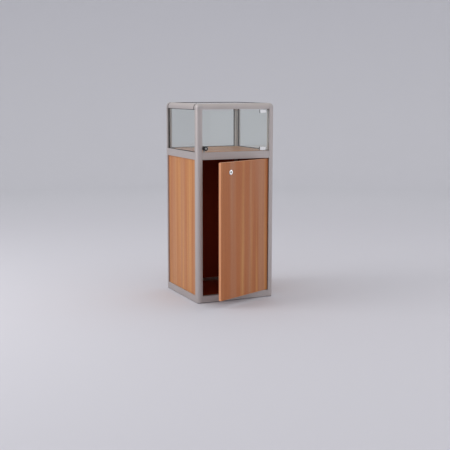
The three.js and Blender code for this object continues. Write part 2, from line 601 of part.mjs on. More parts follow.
function addGlassDoor() {
  const [front, back] = GLASS_DOOR.y;
  const rod = (radius, range, sides) => crosswiseRod(radius, GLASS_LOCK_X, range, GLASS_LOCK_Z, sides);
  const leaf = box(GLASS_DOOR.x, GLASS_DOOR.y, GLASS_DOOR.z)
    .subtract(rod(GLASS_LOCK_SHANK + FIT_GAP, [front - 1, back + 1]));
  addMesh(displayCase, 'glass_door', leaf, GLASS);
  addMesh(displayCase, 'glass_hinge_upper', hingeClamp(1), CHROME);
  addMesh(displayCase, 'glass_hinge_lower', hingeClamp(-1), CHROME);

  const block = (slot) => pivotBlock(GLASS_PIVOT_X, CLAMP_PIN_RADIUS, slot);
  const lowerSlot = [MID_RAIL_TOP - SLOT_DEPTH, MID_RAIL_TOP];
  const upperSlot = [TOP_RAIL_BOTTOM, TOP_RAIL_BOTTOM + SLOT_DEPTH];
  addMesh(displayCase, 'glass_pivot_block_lower', block(lowerSlot), NYLON);
  addMesh(displayCase, 'glass_pivot_block_upper', block(upperSlot), NYLON);

  addMesh(displayCase, 'glass_lock_case', glassLockCase(), BLACK_PLASTIC);
  const nutBack = back + FIT_GAP + GLASS_LOCK_NUT;
  const nut = rod(GLASS_LOCK_RADIUS, [back + FIT_GAP, nutBack])
    .subtract(rod(GLASS_LOCK_SHANK + FIT_GAP, [back, nutBack + 1]));
  addMesh(displayCase, 'glass_lock_nut', nut, BLACK_PLASTIC);

  const camFront = nutBack + 2 * FIT_GAP;
  const plugFront = front - FIT_GAP - GLASS_LOCK_PROJECTION - GLASS_LOCK_PLUG_PROUD;
  const tenon = [-GLASS_LOCK_TENON, GLASS_LOCK_TENON];
  const [keyWidth, keyHeight] = KEYWAY;
  const plug = rod(GLASS_LOCK_PLUG, [plugFront, nutBack + FIT_GAP / 2])
    .add(box(tenon.map((t) => GLASS_LOCK_X + t), [nutBack - 1, camFront + GLASS_CAM + FIT_GAP],
      tenon.map((t) => GLASS_LOCK_Z + t)))
    .subtract(box([GLASS_LOCK_X - keyWidth, GLASS_LOCK_X + keyWidth], [plugFront - 1, plugFront + 6],
      [GLASS_LOCK_Z - keyHeight / 2, GLASS_LOCK_Z + keyHeight / 2]));
  addMesh(displayCase, 'glass_lock_plug', plug, CHROME);

  const cam = lockTongue(GLASS_CAM_REACH, GLASS_CAM_WIDTH, [camFront, camFront + GLASS_CAM],
    GLASS_LOCK_TENON, -Math.PI / 2, GLASS_LOCK_X, GLASS_LOCK_Z);
  addMesh(displayCase, 'glass_lock_cam', cam, STEEL);
}

// ---------------------------------------------------------------- door stops

const STOP = { width: 8, height: 12, fromDoorEnd: 20, outOfSlot: 4.5 };

// Rubber stops behind the doors' free edges: two on the front left post for the cabinet door,
// and one clipped into its slot for the glass door.
function addDoorStops() {
  const postFace = -POST_INNER + FIT_GAP;
  const behindDoor = [DOOR.y[1] + FIT_GAP, DOOR.y[1] + FIT_GAP + STOP.width];
  const stopHeights = {
    lower: DOOR.z[0] + STOP.fromDoorEnd,
    upper: DOOR.z[1] - STOP.fromDoorEnd - STOP.height,
  };
  for (const [place, z] of Object.entries(stopHeights)) {
    const stop = box([postFace, postFace + STOP.width], behindDoor, [z, z + STOP.height]);
    addMesh(displayCase, `cabinet_door_stop_${place}`, stop, SEAL);
  }
  const z = GLASS_DOOR.z[1] - STOP.fromDoorEnd - STOP.height;
  const stop = box([-SLOT_BOTTOM + FIT_GAP, -POST_INNER + STOP.outOfSlot],
    [GLASS_DOOR.y[1] + FIT_GAP, -HALF + SLOT_END - FIT_GAP], [z, z + STOP.height]);
  addMesh(displayCase, 'glass_door_stop', stop, SEAL);
}

addPosts();
addCornersAndGlides();
addRails();
addFilling();
addCabinetDoor();
addGlassDoor();
addDoorStops();

export default displayCase;
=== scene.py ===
"""Pedestal display case: its finished pieces, their materials, a pale studio and the camera.

The file is laid out as a Blender add-on and is run as a script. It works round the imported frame,
whose nodes give the places and overall sizes. What they don't tell, such as the slots of a profile,
is a setting in one of the property groups. Everything is in metres, +Z up, and the doors face -Y.
"""

import json
import math

import bmesh
import bpy
from bpy.props import FloatProperty, FloatVectorProperty, PointerProperty
from mathutils import Matrix, Vector


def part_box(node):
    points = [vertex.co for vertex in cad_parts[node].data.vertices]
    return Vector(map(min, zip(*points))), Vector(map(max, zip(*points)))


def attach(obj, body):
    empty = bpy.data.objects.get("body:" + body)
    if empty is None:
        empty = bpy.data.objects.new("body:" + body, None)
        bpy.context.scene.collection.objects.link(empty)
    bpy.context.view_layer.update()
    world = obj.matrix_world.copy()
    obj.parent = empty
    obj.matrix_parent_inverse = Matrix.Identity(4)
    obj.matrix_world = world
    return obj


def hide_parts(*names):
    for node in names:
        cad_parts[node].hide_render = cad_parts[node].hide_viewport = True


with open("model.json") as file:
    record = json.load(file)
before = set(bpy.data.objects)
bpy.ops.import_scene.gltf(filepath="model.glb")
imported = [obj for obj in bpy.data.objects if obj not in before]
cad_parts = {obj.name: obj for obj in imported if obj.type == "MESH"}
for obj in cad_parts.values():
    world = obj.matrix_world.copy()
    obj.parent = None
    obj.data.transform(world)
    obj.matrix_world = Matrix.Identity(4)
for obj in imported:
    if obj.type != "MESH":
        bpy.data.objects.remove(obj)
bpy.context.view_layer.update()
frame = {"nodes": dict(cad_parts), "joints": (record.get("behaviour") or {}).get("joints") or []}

bl_info = {
    "name": "Pedestal Display Case",
    "version": (1, 0, 0),
    "blender": (4, 5, 0),
    "location": "View3D > Sidebar > Display Case",
    "description": "Builds the finished pieces of a glazed pedestal display case round its frame",
    "category": "Object",
}

MM = 0.001
FIT_GAP = 0.3 * MM                      # that the frame leaves between pieces that touch

# ------------------------------------------------------------------ places that the frame gives

POST_LOW, POST_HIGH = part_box("post_front_left")
HALF = -POST_LOW.x                      # from the case's middle to its outer faces
PROFILE = POST_HIGH.x - POST_LOW.x      # the posts' side
SIDE_TURNS = {"front": 0.0, "right": math.pi / 2, "rear": math.pi, "left": -math.pi / 2}
POST_TURNS = {"front_left": 0.0, "front_right": math.pi / 2, "rear_right": math.pi, "rear_left": -math.pi / 2}
CORNER_TURNS = {"front_left": 0.0, "front_right": 0.0, "rear_right": math.pi, "rear_left": math.pi}
MIRRORED_CORNERS = ("front_right", "rear_left")

# A section drawn in X and Y and run along Z, laid down so that it runs along X: what was X points
# into the case, and what was Y points up.
LAID_DOWN = Matrix(((0, 0, 1, 0), (1, 0, 0, 0), (0, 1, 0, 0), (0, 0, 0, 1)))
# A round piece turned about Z, laid so that what was up points into the case, along +Y.
POINTED_IN = Matrix.Rotation(-math.pi / 2, 4, "X")


def joint_named(name):
    return next(joint for joint in frame["joints"] if joint["name"] == name)


def ajar_turn():
    """The turn of the cabinet door at rest, away from its shut place, about its hinge."""
    hinge = joint_named("cabinet_door_hinge")
    pivot = Matrix.Translation(hinge["pos_m"])
    turn = Matrix.Rotation(math.radians(-min(hinge["range_deg"])), 4, "Z")
    return pivot @ turn @ pivot.inverted()


AJAR = ajar_turn()


def shut_box(node):
    """The lowest and highest corners that a node on the cabinet door has with the door shut."""
    shut = AJAR.inverted()
    points = [shut @ vertex.co for vertex in frame["nodes"][node].data.vertices]
    lows = Vector([min(point[axis] for point in points) for axis in range(3)])
    highs = Vector([max(point[axis] for point in points) for axis in range(3)])
    return lows, highs


# ------------------------------------------------------------------ settings

def length(name, description, default):
    return FloatProperty(name=name, description=description, default=default, min=0.0,
                         unit="LENGTH", precision=4)


def share(name, description, default):
    return FloatProperty(name=name, description=description, default=default, min=0.0, max=1.0,
                         subtype="FACTOR")


def colour(name, description, hexadecimal):
    """A colour property, from a colour as screens write it to the linear one that shaders take."""
    values = [(hexadecimal >> shift & 255) / 255 for shift in (16, 8, 0)]
    linear = [((value + 0.055) / 1.055) ** 2.4 if value > 0.04045 else value / 12.92 for value in values]
    return FloatVectorProperty(name=name, description=description, default=linear, size=3,
                               min=0.0, max=1.0, subtype="COLOR")


class ProfileSettings(bpy.types.PropertyGroup):
    """The aluminium frame."""

    corner_radius: length("Corner Radius", "Of the posts' outer corner and the top rails' outer edge", 0.022)
    slot_start: length("Slot Start", "From a profile's outer face to its slot", 0.007)
    slot_width: length("Slot Width", "Of the slots that hold panes and panels", 0.009)
    slot_depth: length("Slot Depth", "Of the slots that hold panes and panels", 0.009)
    rail_box: length("Rail Box", "Depth of the closed part of the middle and bottom rails", 0.024)
    ledge: length("Ledge", "Thickness of the ledge that carries a board", 0.003)
    rebate_width: length("Rebate Width", "Of the top rails' seat for the top glass", 0.007)
    corner_arm: length("Corner Arm", "Reach of the cast corners along the sides of the case", 0.047)
    # Painted shade: a strip of black rubber at these joints stands for the dark shadow line there.
    shade_strip: length("Shade Strip", "Rubber between a cast corner's arm and the side's top rail", 0.009)
    arris: length("Arris", "Radius of the profiles' small edges", 0.0005)
    metal: colour("Metal", "Satin anodised aluminium", 0xBFB7B5)
    cast_metal: colour("Cast Metal", "The corner castings, lacquered to match", 0xBBB4B3)
    roughness: share("Roughness", "Of the anodised metal", 0.55)


class BoardSettings(bpy.types.PropertyGroup):
    """The beech-faced chipboard."""

    arris: length("Arris", "Radius of the boards' edges", 0.0003)
    edge_band: length("Edge Band", "Thickness of the band round the cabinet door", 0.001)
    pale: colour("Pale Wood", "The yellowish bands of the beech", 0xC88E56)
    ruddy: colour("Ruddy Wood", "The reddish bands of the beech", 0xB26C40)
    rosy: colour("Rosy Wood", "The greyish pink bands of the beech", 0xB48062)
    deep: colour("Deep Lines", "The thin dark growth lines", 0xA0562E)
    fleck: colour("Flecks", "The short flecks that mark beech", 0x783C1F)
    # The band's lighter tone is partly its own colour and partly a painted highlight, for the light that the door's
    # edges catch from the left and above.
    band: colour("Band", "The edge band, a shade lighter than the faces", 0xD9986E)
    # Painted shade: this dark colour stands for the shade inside the cabinet, on the faces that look into it.
    inside: colour("Painted Inner Shade", "The dark backs of the boards, inside the cabinet", 0x983014)
    roughness: share("Roughness", "Of the melamine face", 0.46)
    deck_roughness: share("Deck Roughness", "Of the deck and the cabinet floor, which are shinier", 0.38)
    shine: share("Shine", "How strongly the boards' faces mirror what is round them", 0.3)


class GlazingSettings(bpy.types.PropertyGroup):
    """The glass and its rubber."""

    arris: length("Arris", "Of the polished glass edges", 0.0005)
    seal_web: length("Seal Web", "Thickness of the rubber round a pane's edge", 0.001)
    seal_lip: length("Seal Lip", "How far the rubber stands out of its slot", 0.003)
    seal_room: length("Seal Room", "Width of the rubber's groove for the pane", 0.0046)
    tint: colour("Tint", "What the glass does to light that passes through it", 0xF2F5F3)
    rubber: colour("Rubber", "Black glazing rubber", 0x1E1C1B)


class FittingSettings(bpy.types.PropertyGroup):
    """The hinges, locks, glides and stops."""

    clamp_width: length("Clamp Width", "Of the glass door's hinge clamps", 0.036)
    clamp_height: length("Clamp Height", "Of the glass door's hinge clamps", 0.019)
    clamp_skin: length("Clamp Skin", "Thickness of the clamps in front of the glass", 0.0025)
    clamp_edge: length("Clamp Edge", "Radius of the clamps' edges", 0.0009)
    screw_radius: length("Screw Radius", "Of the clamps' grub screws", 0.0022)
    keyway_width: length("Keyway Width", "Of the slot for the key", 0.0022)
    keyway_height: length("Keyway Height", "Of the slot for the key", 0.007)
    lock_bore: length("Lock Bore", "Radius of the cabinet lock's bore", 0.0068)
    barrel_radius: length("Barrel Radius", "Of the cabinet lock", 0.0095)
    chrome: colour("Chrome", "The cabinet lock's bright plating", 0xE6E6E6)
    nickel: colour("Nickel", "The hinge clamps' plating, a shade darker", 0xC4C4C6)
    steel: colour("Steel", "Zinc-plated steel", 0xA5A6A4)
    black: colour("Black", "Moulded black plastic", 0x1A1A1B)
    nylon: colour("Nylon", "Dark nylon of the pivots", 0x3A3A3B)


class StudioSettings(bpy.types.PropertyGroup):
    """The floor, the light and the camera."""

    floor: colour("Floor", "Pale seamless floor", 0xCCCBD2)
    # Painted light: the backdrop colour is a shade paler than the floor, to make up for the dimmer light that reaches
    # the far floor and the backdrop.
    backdrop: colour("Backdrop", "The backdrop, a shade darker than the floor", 0xD0D0D6)
    floor_reach: length("Floor Reach", "From the case to where the floor begins to rise", 5.5)
    backdrop_height: length("Backdrop Height", "Of the backdrop all round", 4.5)
    lens: FloatProperty(name="Lens", description="Focal length, on a sensor 36 mm wide", default=71.84)
    yaw: FloatProperty(name="Yaw", description="The camera looks this far to the right of straight ahead",
                       default=math.radians(24.756), subtype="ANGLE")
    pitch: FloatProperty(name="Pitch", description="The camera looks this far down",
                         default=math.radians(8.678), subtype="ANGLE")
    roll: FloatProperty(name="Roll", description="The camera leans this far", default=math.radians(0.067),
                        subtype="ANGLE")
    place: FloatVectorProperty(name="Place", description="Of the camera", size=3, unit="LENGTH",
                               default=(-2.1279, -4.7020, 1.1827))
    sky: share("Sky", "Even light from all round", 0.9)
    key_power: FloatProperty(name="Key Light", description="Large soft light at the left", default=66.0)
    fill_power: FloatProperty(name="Fill Light", description="Large soft light in front, to the right",
                              default=13.0)
    side_power: FloatProperty(name="Side Light", description="Soft light at the right", default=8.0)


class CaseSettings(bpy.types.PropertyGroup):
    """All the settings of the display case."""

    profile: PointerProperty(type=ProfileSettings)
    board: PointerProperty(type=BoardSettings)
    glazing: PointerProperty(type=GlazingSettings)
    fitting: PointerProperty(type=FittingSettings)
    studio: PointerProperty(type=StudioSettings)


def settings():
    return bpy.context.scene.display_case


# ------------------------------------------------------------------ node trees

class Socket:
    """A node's output in a Python expression. Each operator adds one Math node."""

    def __init__(self, tree, output):
        self.tree = tree
        self.output = output

    def __add__(self, other):
        return self.tree.maths("ADD", self, other)

    def __sub__(self, other):
        return self.tree.maths("SUBTRACT", self, other)

    def __rsub__(self, other):
        return self.tree.maths("SUBTRACT", other, self)

    def __mul__(self, other):
        return self.tree.maths("MULTIPLY", self, other)

    __radd__ = __add__
    __rmul__ = __mul__


class NodeTree:
    """A tree built a node at a time. Sockets take plain values, outputs, or lists of outputs."""

    def __init__(self, tree):
        self.tree = tree

    def node(self, kind, sockets=None, output=0, stops=None, **options):
        made = self.tree.nodes.new(kind)
        for name, value in options.items():
            setattr(made, name, value)
        if stops:
            for element, (position, level) in zip(made.color_ramp.elements, stops, strict=True):
                element.position = position
                element.color = (level, level, level, 1.0)
        for key, value in (sockets or {}).items():
            links = value if isinstance(value, list) else [value]
            for link in links:
                if isinstance(link, Socket):
                    self.tree.links.new(link.output, made.inputs[key])
                else:
                    made.inputs[key].default_value = link
        return Socket(self, made.outputs[output])

    def maths(self, operation, first, second):
        return self.node("ShaderNodeMath", {0: first, 1: second}, operation=operation)


class Paint(NodeTree):
    """A material's nodes. Patterns are laid out in the piece's own metres."""

    def __init__(self, name):
        self.material = bpy.data.materials.new(name)
        self.material.use_nodes = True
        super().__init__(self.material.node_tree)
        self.tree.nodes.clear()
        self.place = self.node("ShaderNodeTexCoord", output="Object")

    def turned_about_z(self, angle):
        """Turns the pattern with a piece that stands at an angle."""
        self.place = self.node("ShaderNodeMapping", {"Vector": self.place, "Rotation": (0.0, 0.0, -angle)})

    def noise(self, per_metre, detail=2.0, distortion=0.0):
        """Noise round 0.5, with so many waves to the metre along each axis."""
        stretched = self.node("ShaderNodeMapping", {"Vector": self.place, "Scale": tuple(per_metre)})
        return self.node("ShaderNodeTexNoise", {"Vector": stretched, "Scale": 1.0, "Detail": detail,
                                                "Distortion": distortion})

    def between(self, value, low, high):
        """0 below low, 1 above high, and a smooth step between."""
        return self.node("ShaderNodeMapRange", {"Value": value, "From Min": low, "From Max": high},
                         interpolation_type="SMOOTHSTEP")

    def mix(self, factor, first, second):
        """Colours are mixed here: a Math node would turn them grey."""
        factor_socket, first_socket, second_socket, result = 0, 6, 7, 2
        return self.node("ShaderNodeMix", {factor_socket: factor, first_socket: first, second_socket: second},
                         output=result, data_type="RGBA")

    def bump(self, height, distance, strength=1.0):
        return self.node("ShaderNodeBump", {"Height": height, "Distance": distance, "Strength": strength})

    def finish(self, sockets):
        """Ends the material in one Principled shader."""
        self.output(self.node("ShaderNodeBsdfPrincipled", sockets))
        return self.material

    def output(self, shader):
        end = self.tree.nodes.new("ShaderNodeOutputMaterial")
        self.tree.links.new(shader.output, end.inputs["Surface"])


def opaque(colour_value):
    return (*colour_value, 1.0)


class Grower(NodeTree):
    """A Geometry Nodes tree with named inputs, each given as (name, socket type)."""

    def __init__(self, name, inputs):
        super().__init__(bpy.data.node_groups.new(name, "GeometryNodeTree"))
        self.tree.interface.new_socket("Geometry", in_out="OUTPUT", socket_type="NodeSocketGeometry")
        self.identifiers = {}
        for label, kind in inputs:
            socket = self.tree.interface.new_socket(label, in_out="INPUT", socket_type=kind)
            self.identifiers[label] = socket.identifier
        self.inlet = self.tree.nodes.new("NodeGroupInput")

    def given(self, label):
        return Socket(self, self.inlet.outputs[label])

    def end(self, geometry):
        """Ends the tree in real faces with the finish on them, because instances aren't kept."""
        real = self.node("GeometryNodeRealizeInstances", {"Geometry": geometry})
        painted = self.node("GeometryNodeSetMaterial", {"Geometry": real, "Material": self.given("Finish")})
        outlet = self.tree.nodes.new("NodeGroupOutput")
        self.tree.links.new(painted.output, outlet.inputs["Geometry"])

    def grow(self, finish_name, values):
        """The plain mesh that the tree makes from these inputs."""
        values = {"Finish": finish(finish_name), **values}
        host = bpy.data.objects.new(self.tree.name, bpy.data.meshes.new(self.tree.name))
        modifier = host.modifiers.new(self.tree.name, "NODES")
        modifier.node_group = self.tree
        for label, value in values.items():
            modifier[self.identifiers[label]] = value
        bpy.context.scene.collection.objects.link(host)
        mesh = evaluated_mesh(host)
        bpy.data.objects.remove(host)
        return mesh


def evaluated_mesh(piece):
    depsgraph = bpy.context.evaluated_depsgraph_get()
    return bpy.data.meshes.new_from_object(piece.evaluated_get(depsgraph), preserve_all_data_layers=True,
                                           depsgraph=depsgraph)


# ------------------------------------------------------------------ shapes

def rounded(corners):
    """A closed outline. Each corner is (x, y, radius), and is replaced by an arc of that radius."""
    fine_radius, fine_steps, large_steps = 0.003, 4, 20
    points = []
    for index, (x, y, radius) in enumerate(corners):
        corner = Vector((x, y))
        if not radius:
            points.append(corner)
            continue
        to_last = (Vector(corners[index - 1][:2]) - corner).normalized()
        to_next = (Vector(corners[(index + 1) % len(corners)][:2]) - corner).normalized()
        half_angle = to_last.angle(to_next) / 2
        centre = corner + (to_last + to_next).normalized() * radius / math.sin(half_angle)
        spoke = corner + to_last * radius / math.tan(half_angle) - centre
        turn = math.copysign(math.pi - 2 * half_angle, to_next.cross(to_last))
        steps = fine_steps if radius < fine_radius else large_steps
        for step in range(steps + 1):
            points.append(centre + Matrix.Rotation(turn * step / steps, 2) @ spoke)
    return points


def as_mesh(shape):
    """A finished bmesh as a mesh, its doubles merged and its faces pointing outwards."""
    bmesh.ops.remove_doubles(shape, verts=shape.verts, dist=1e-6)
    bmesh.ops.recalc_face_normals(shape, faces=shape.faces)
    mesh = bpy.data.meshes.new("shape")
    shape.to_mesh(mesh)
    shape.free()
    return mesh


def moved(mesh, *matrices):
    """The mesh, put through the matrices from the last to the first."""
    matrix = Matrix.Identity(4)
    for step in matrices:
        matrix = matrix @ step
    mesh.transform(matrix)
    if matrix.is_negative:
        mesh.flip_normals()
    return mesh


def block(low, high):
    shape = bmesh.new()
    low, high = Vector(low), Vector(high)
    bmesh.ops.create_cube(shape, size=1.0, matrix=Matrix.LocRotScale((low + high) / 2, None, high - low))
    return as_mesh(shape)


def turned(outline, steps=72):
    """A round piece about Z, from a closed outline of (radius, height)."""
    shape = bmesh.new()
    verts = [shape.verts.new((radius, 0.0, height)) for radius, height in outline]
    edges = [shape.edges.new(pair) for pair in zip(verts, verts[1:] + verts[:1])]
    bmesh.ops.spin(shape, geom=verts + edges, cent=(0, 0, 0), axis=(0, 0, 1), angle=2 * math.pi,
                   steps=steps, use_merge=True)
    bmesh.ops.dissolve_degenerate(shape, edges=shape.edges, dist=1e-7)
    return as_mesh(shape)


def rod(radius, low, high, edge=0.0, steps=48):
    """A round rod about Z, with its ends' edges rounded."""
    outline = rounded([(0.0, low, 0.0), (radius, low, edge), (radius, high, edge), (0.0, high, 0.0)])
    return turned(outline, steps)


def framed(section, half_width, low, high):
    """A mitred rectangular frame in the XZ plane; section points are (inwards, y)."""
    shape = bmesh.new()
    loops = []
    for side_x, side_z in ((-1, -1), (1, -1), (1, 1), (-1, 1)):
        edge_z = low if side_z < 0 else high
        loops.append([shape.verts.new((side_x * (half_width - inwards), y, edge_z - side_z * inwards))
                      for inwards, y in section])
    for here, beyond in zip(loops, loops[1:] + loops[:1]):
        for index in range(len(section)):
            after = (index + 1) % len(section)
            shape.faces.new((here[index], here[after], beyond[after], beyond[index]))
    return as_mesh(shape)


def scratch_object(mesh):
    piece = bpy.data.objects.new("scratch", mesh)
    bpy.context.scene.collection.objects.link(piece)
    return piece


def combined(mesh, *steps):
    """The mesh after each (operation, other mesh), such as ("DIFFERENCE", bore)."""
    piece = scratch_object(mesh)
    others = []
    for operation, other in steps:
        others.append(scratch_object(other))
        modifier = piece.modifiers.new(operation, "BOOLEAN")
        modifier.operation = operation
        modifier.solver = "EXACT"
        modifier.object = others[-1]
    made = evaluated_mesh(piece)
    for used in (piece, *others):
        bpy.data.objects.remove(used)
    return made


def bevelled(mesh, radius, segments=2, least_angle=math.radians(40)):
    """The mesh with its sharp edges rounded."""
    piece = scratch_object(mesh)
    modifier = piece.modifiers.new("arris", "BEVEL")
    modifier.width = radius
    modifier.segments = segments
    modifier.limit_method = "ANGLE"
    modifier.angle_limit = least_angle
    modifier.miter_outer = "MITER_ARC"
    made = evaluated_mesh(piece)
    bpy.data.objects.remove(piece)
    return made


def add_piece(name, mesh, body, finish_name, stands_for, sharp=math.radians(50)):
    """Shades a mesh, gives it its finish, and puts it in the scene in place of its CAD nodes."""
    mesh.polygons.foreach_set("use_smooth", [True] * len(mesh.polygons))
    mesh.set_sharp_from_angle(angle=sharp)
    piece = bpy.data.objects.new(name, mesh)
    bpy.context.scene.collection.objects.link(piece)
    weighting = piece.modifiers.new("flat faces stay flat", "WEIGHTED_NORMAL")
    weighting.keep_sharp = True
    shaded = evaluated_mesh(piece)
    piece.modifiers.clear()
    piece.data = shaded
    shaded.name = name
    shaded.materials.clear()
    shaded.materials.append(finish(finish_name))
    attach(piece, body)
    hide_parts(*stands_for)
    return piece


def add_for_node(node, mesh, body, finish_name):
    """A piece that stands for one node, and is named after it."""
    return add_piece(f"finished_{node}", mesh, body, finish_name, [node])


def profile_grower():
    """The tree that runs a section along Z, as a profile is extruded and sawn off."""
    grower = Grower("profile", [("Section", "NodeSocketObject"), ("Length", "NodeSocketFloat"),
                                ("Finish", "NodeSocketMaterial")])
    section = grower.node("GeometryNodeObjectInfo", {"Object": grower.given("Section")}, output="Geometry")
    outline = grower.node("GeometryNodeMeshToCurve", {"Mesh": section})
    sawn_end = grower.node("GeometryNodeFillCurve", {"Curve": outline}, mode="NGONS")
    run = grower.node("GeometryNodeExtrudeMesh", {"Mesh": sawn_end, "Offset Scale": grower.given("Length"),
                                                  "Individual": False})
    other_end = grower.node("GeometryNodeFlipFaces", {"Mesh": sawn_end})
    whole = grower.node("GeometryNodeJoinGeometry", {"Geometry": [run, other_end]})
    grower.end(grower.node("GeometryNodeMergeByDistance", {"Geometry": whole, "Distance": 1e-6}))
    return grower


def row_grower():
    """The tree that repeats a small piece along a straight row."""
    grower = Grower("row", [("Piece", "NodeSocketObject"), ("Count", "NodeSocketInt"),
                            ("First", "NodeSocketVector"), ("Step", "NodeSocketVector"),
                            ("Finish", "NodeSocketMaterial")])
    piece = grower.node("GeometryNodeObjectInfo", {"Object": grower.given("Piece")}, output="Geometry")
    places = grower.node("GeometryNodeMeshLine", {"Count": grower.given("Count"),
                                                  "Start Location": grower.given("First"),
                                                  "Offset": grower.given("Step")})
    grower.end(grower.node("GeometryNodeInstanceOnPoints", {"Points": places, "Instance": piece}))
    return grower


GROWERS = {}


def grown(maker, finish_name, values):
    if maker not in GROWERS:
        GROWERS[maker] = maker()
    return GROWERS[maker].grow(finish_name, values)


def extruded(outline, run, finish_name):
    """The outline, drawn in X and Y, run from z = 0 to z = run."""
    section = bpy.data.meshes.new("section")
    count = len(outline)
    section.from_pydata([(x, y, 0.0) for x, y in outline], [(i, (i + 1) % count) for i in range(count)], [])
    drawn = scratch_object(section)
    mesh = grown(profile_grower, finish_name, {"Section": drawn, "Length": run})
    bpy.data.objects.remove(drawn)
    return mesh


# ------------------------------------------------------------------ finishes

def anodised_aluminium(name, lines_along):
    """Satin aluminium with the faint lines that the die leaves along a profile."""
    profile = settings().profile
    paint = Paint(name)
    fine, long = 900.0, 5.0
    die_lines = paint.noise([long if axis == lines_along else fine for axis in "XYZ"], detail=3.0)
    clouds = paint.noise((11.0, 11.0, 11.0), detail=3.0)
    handled = paint.between(paint.noise((4.0, 4.0, 6.0), detail=4.0), 0.5, 0.72)
    darker = opaque([0.9 * level for level in profile.metal])
    return paint.finish({
        "Base Color": paint.mix(clouds * 0.6 + die_lines * 0.4, opaque(profile.metal), darker),
        "Metallic": 0.7,
        "Roughness": profile.roughness + (die_lines - 0.5) * 0.2 + handled * 0.06,
        "Normal": paint.bump(die_lines, 0.02 * MM),
    })


def cast_aluminium(name):
    """A lacquered casting: no lines, but the faint skin of its mould."""
    profile = settings().profile
    paint = Paint(name)
    skin = paint.noise((700.0, 700.0, 700.0), detail=2.0)
    clouds = paint.noise((30.0, 30.0, 30.0), detail=3.0)
    darker = opaque([0.92 * level for level in profile.cast_metal])
    return paint.finish({
        "Base Color": paint.mix(clouds, opaque(profile.cast_metal), darker),
        "Metallic": 0.7,
        "Roughness": profile.roughness + (skin - 0.5) * 0.14,
        "Normal": paint.bump(skin, 0.03 * MM),
    })


def beech(name, grain="Z", turn=0.0, roughness=None, ruddiness=0.5):
    """Beech-printed melamine: broad bands, thin growth lines and short flecks along the grain.

    `ruddiness` is the share of the face that the reddish bands take.
    """
    board = settings().board
    paint = Paint(name)
    cabinet_shade = cabinet_shade_mask(paint)
    paint.turned_about_z(turn)

    def along_grain(across, along):
        return [along if axis == grain else across for axis in "XYZ"]

    bands = paint.noise(along_grain(22.0, 0.5), detail=2.0, distortion=0.3)
    rosy_bands = paint.noise(along_grain(13.0, 0.3), detail=1.0)
    narrow_bands = paint.noise(along_grain(70.0, 1.1), detail=3.0)
    lines = paint.noise(along_grain(380.0, 4.0), detail=3.0)
    flecks = paint.between(paint.noise(along_grain(1500.0, 150.0), detail=1.0), 0.6, 0.72)
    pores = paint.between(paint.noise(along_grain(900.0, 30.0), detail=2.0), 0.56, 0.7)

    middle = 0.5 + (0.5 - ruddiness) * 0.3
    reddening = paint.between(bands * 0.7 + narrow_bands * 0.3, middle - 0.12, middle + 0.12)
    wood = paint.mix(reddening * (0.3 + 0.9 * ruddiness), opaque(board.pale), opaque(board.ruddy))
    wood = paint.mix(paint.between(rosy_bands, 0.44, 0.58) * (0.9 * ruddiness), wood, opaque(board.rosy))
    wood = paint.mix(paint.between(lines * 0.6 + narrow_bands * 0.4, 0.5, 0.7) * 0.42, wood, opaque(board.deep))
    wood = paint.mix(flecks * 0.38 + pores * 0.16, wood, opaque(board.fleck))
    # Painted shade: the faces inside the cabinet take the dark inner colour.
    wood = paint.mix(cabinet_shade * 0.92, wood, opaque(board.inside))
    relief = (1 - flecks) * 0.6 + lines * 0.4
    return paint.finish({
        "Base Color": wood,
        "Roughness": (roughness or board.roughness) + flecks * 0.1 + (lines - 0.5) * 0.1,
        "Specular IOR Level": board.shine,
        "Normal": paint.bump(relief, 0.03 * MM),
    })


def cabinet_shade_mask(paint):
    """1 on the boards' faces that look into the cabinet, 0 on the others: where the painted shade inside the cabinet
    goes.
    """
    panel_low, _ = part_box("cabinet_panel_rear")
    deck_low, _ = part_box("display_deck")
    margin = 0.5 * MM
    x, y, z = (paint.node("ShaderNodeSeparateXYZ", {"Vector": paint.place}, output=axis) for axis in "XYZ")
    reach = paint.maths("MAXIMUM", paint.maths("ABSOLUTE", x, 0.0), paint.maths("ABSOLUTE", y, 0.0))
    between_panels = paint.maths("LESS_THAN", reach, panel_low.y + margin)
    below_deck = paint.maths("LESS_THAN", z, deck_low.z + margin)
    return between_panels * below_deck


def edge_band(name, turn):
    """The plastic band that closes the door's edges: the same wood, plainer, and lighter partly by its own colour and
    partly by a painted highlight for the light that the edges catch.
    """
    board = settings().board
    paint = Paint(name)
    paint.turned_about_z(turn)
    lines = paint.noise((500.0, 500.0, 6.0), detail=3.0)
    stipple = paint.noise((1800.0, 1800.0, 1800.0), detail=1.0)
    return paint.finish({
        "Base Color": paint.mix(paint.between(lines, 0.4, 0.75) * 0.5, opaque(board.band), opaque(board.ruddy)),
        "Roughness": board.roughness - 0.06 + (stipple - 0.5) * 0.16,
        "Specular IOR Level": board.shine,
        "Normal": paint.bump(stipple, 0.02 * MM),
    })


def clear_glass(name):
    """Float glass with a faint film of wiping. Lamps shine through it, so that it shades as glass does."""
    glazing = settings().glazing
    paint = Paint(name)
    wiped = paint.between(paint.noise((26.0, 26.0, 9.0), detail=5.0, distortion=0.8), 0.5, 0.8)
    glass = paint.node("ShaderNodeBsdfPrincipled", {
        "Base Color": opaque(glazing.tint),
        "Roughness": wiped * 0.01,
        "IOR": 1.5,
        "Transmission Weight": 1.0,
    })
    clear = paint.node("ShaderNodeBsdfTransparent", {"Color": opaque(glazing.tint)})
    from_lamp = paint.node("ShaderNodeLightPath", output="Is Shadow Ray")
    first, second = 1, 2
    paint.output(paint.node("ShaderNodeMixShader", {"Fac": from_lamp, first: glass, second: clear}))
    return paint.material


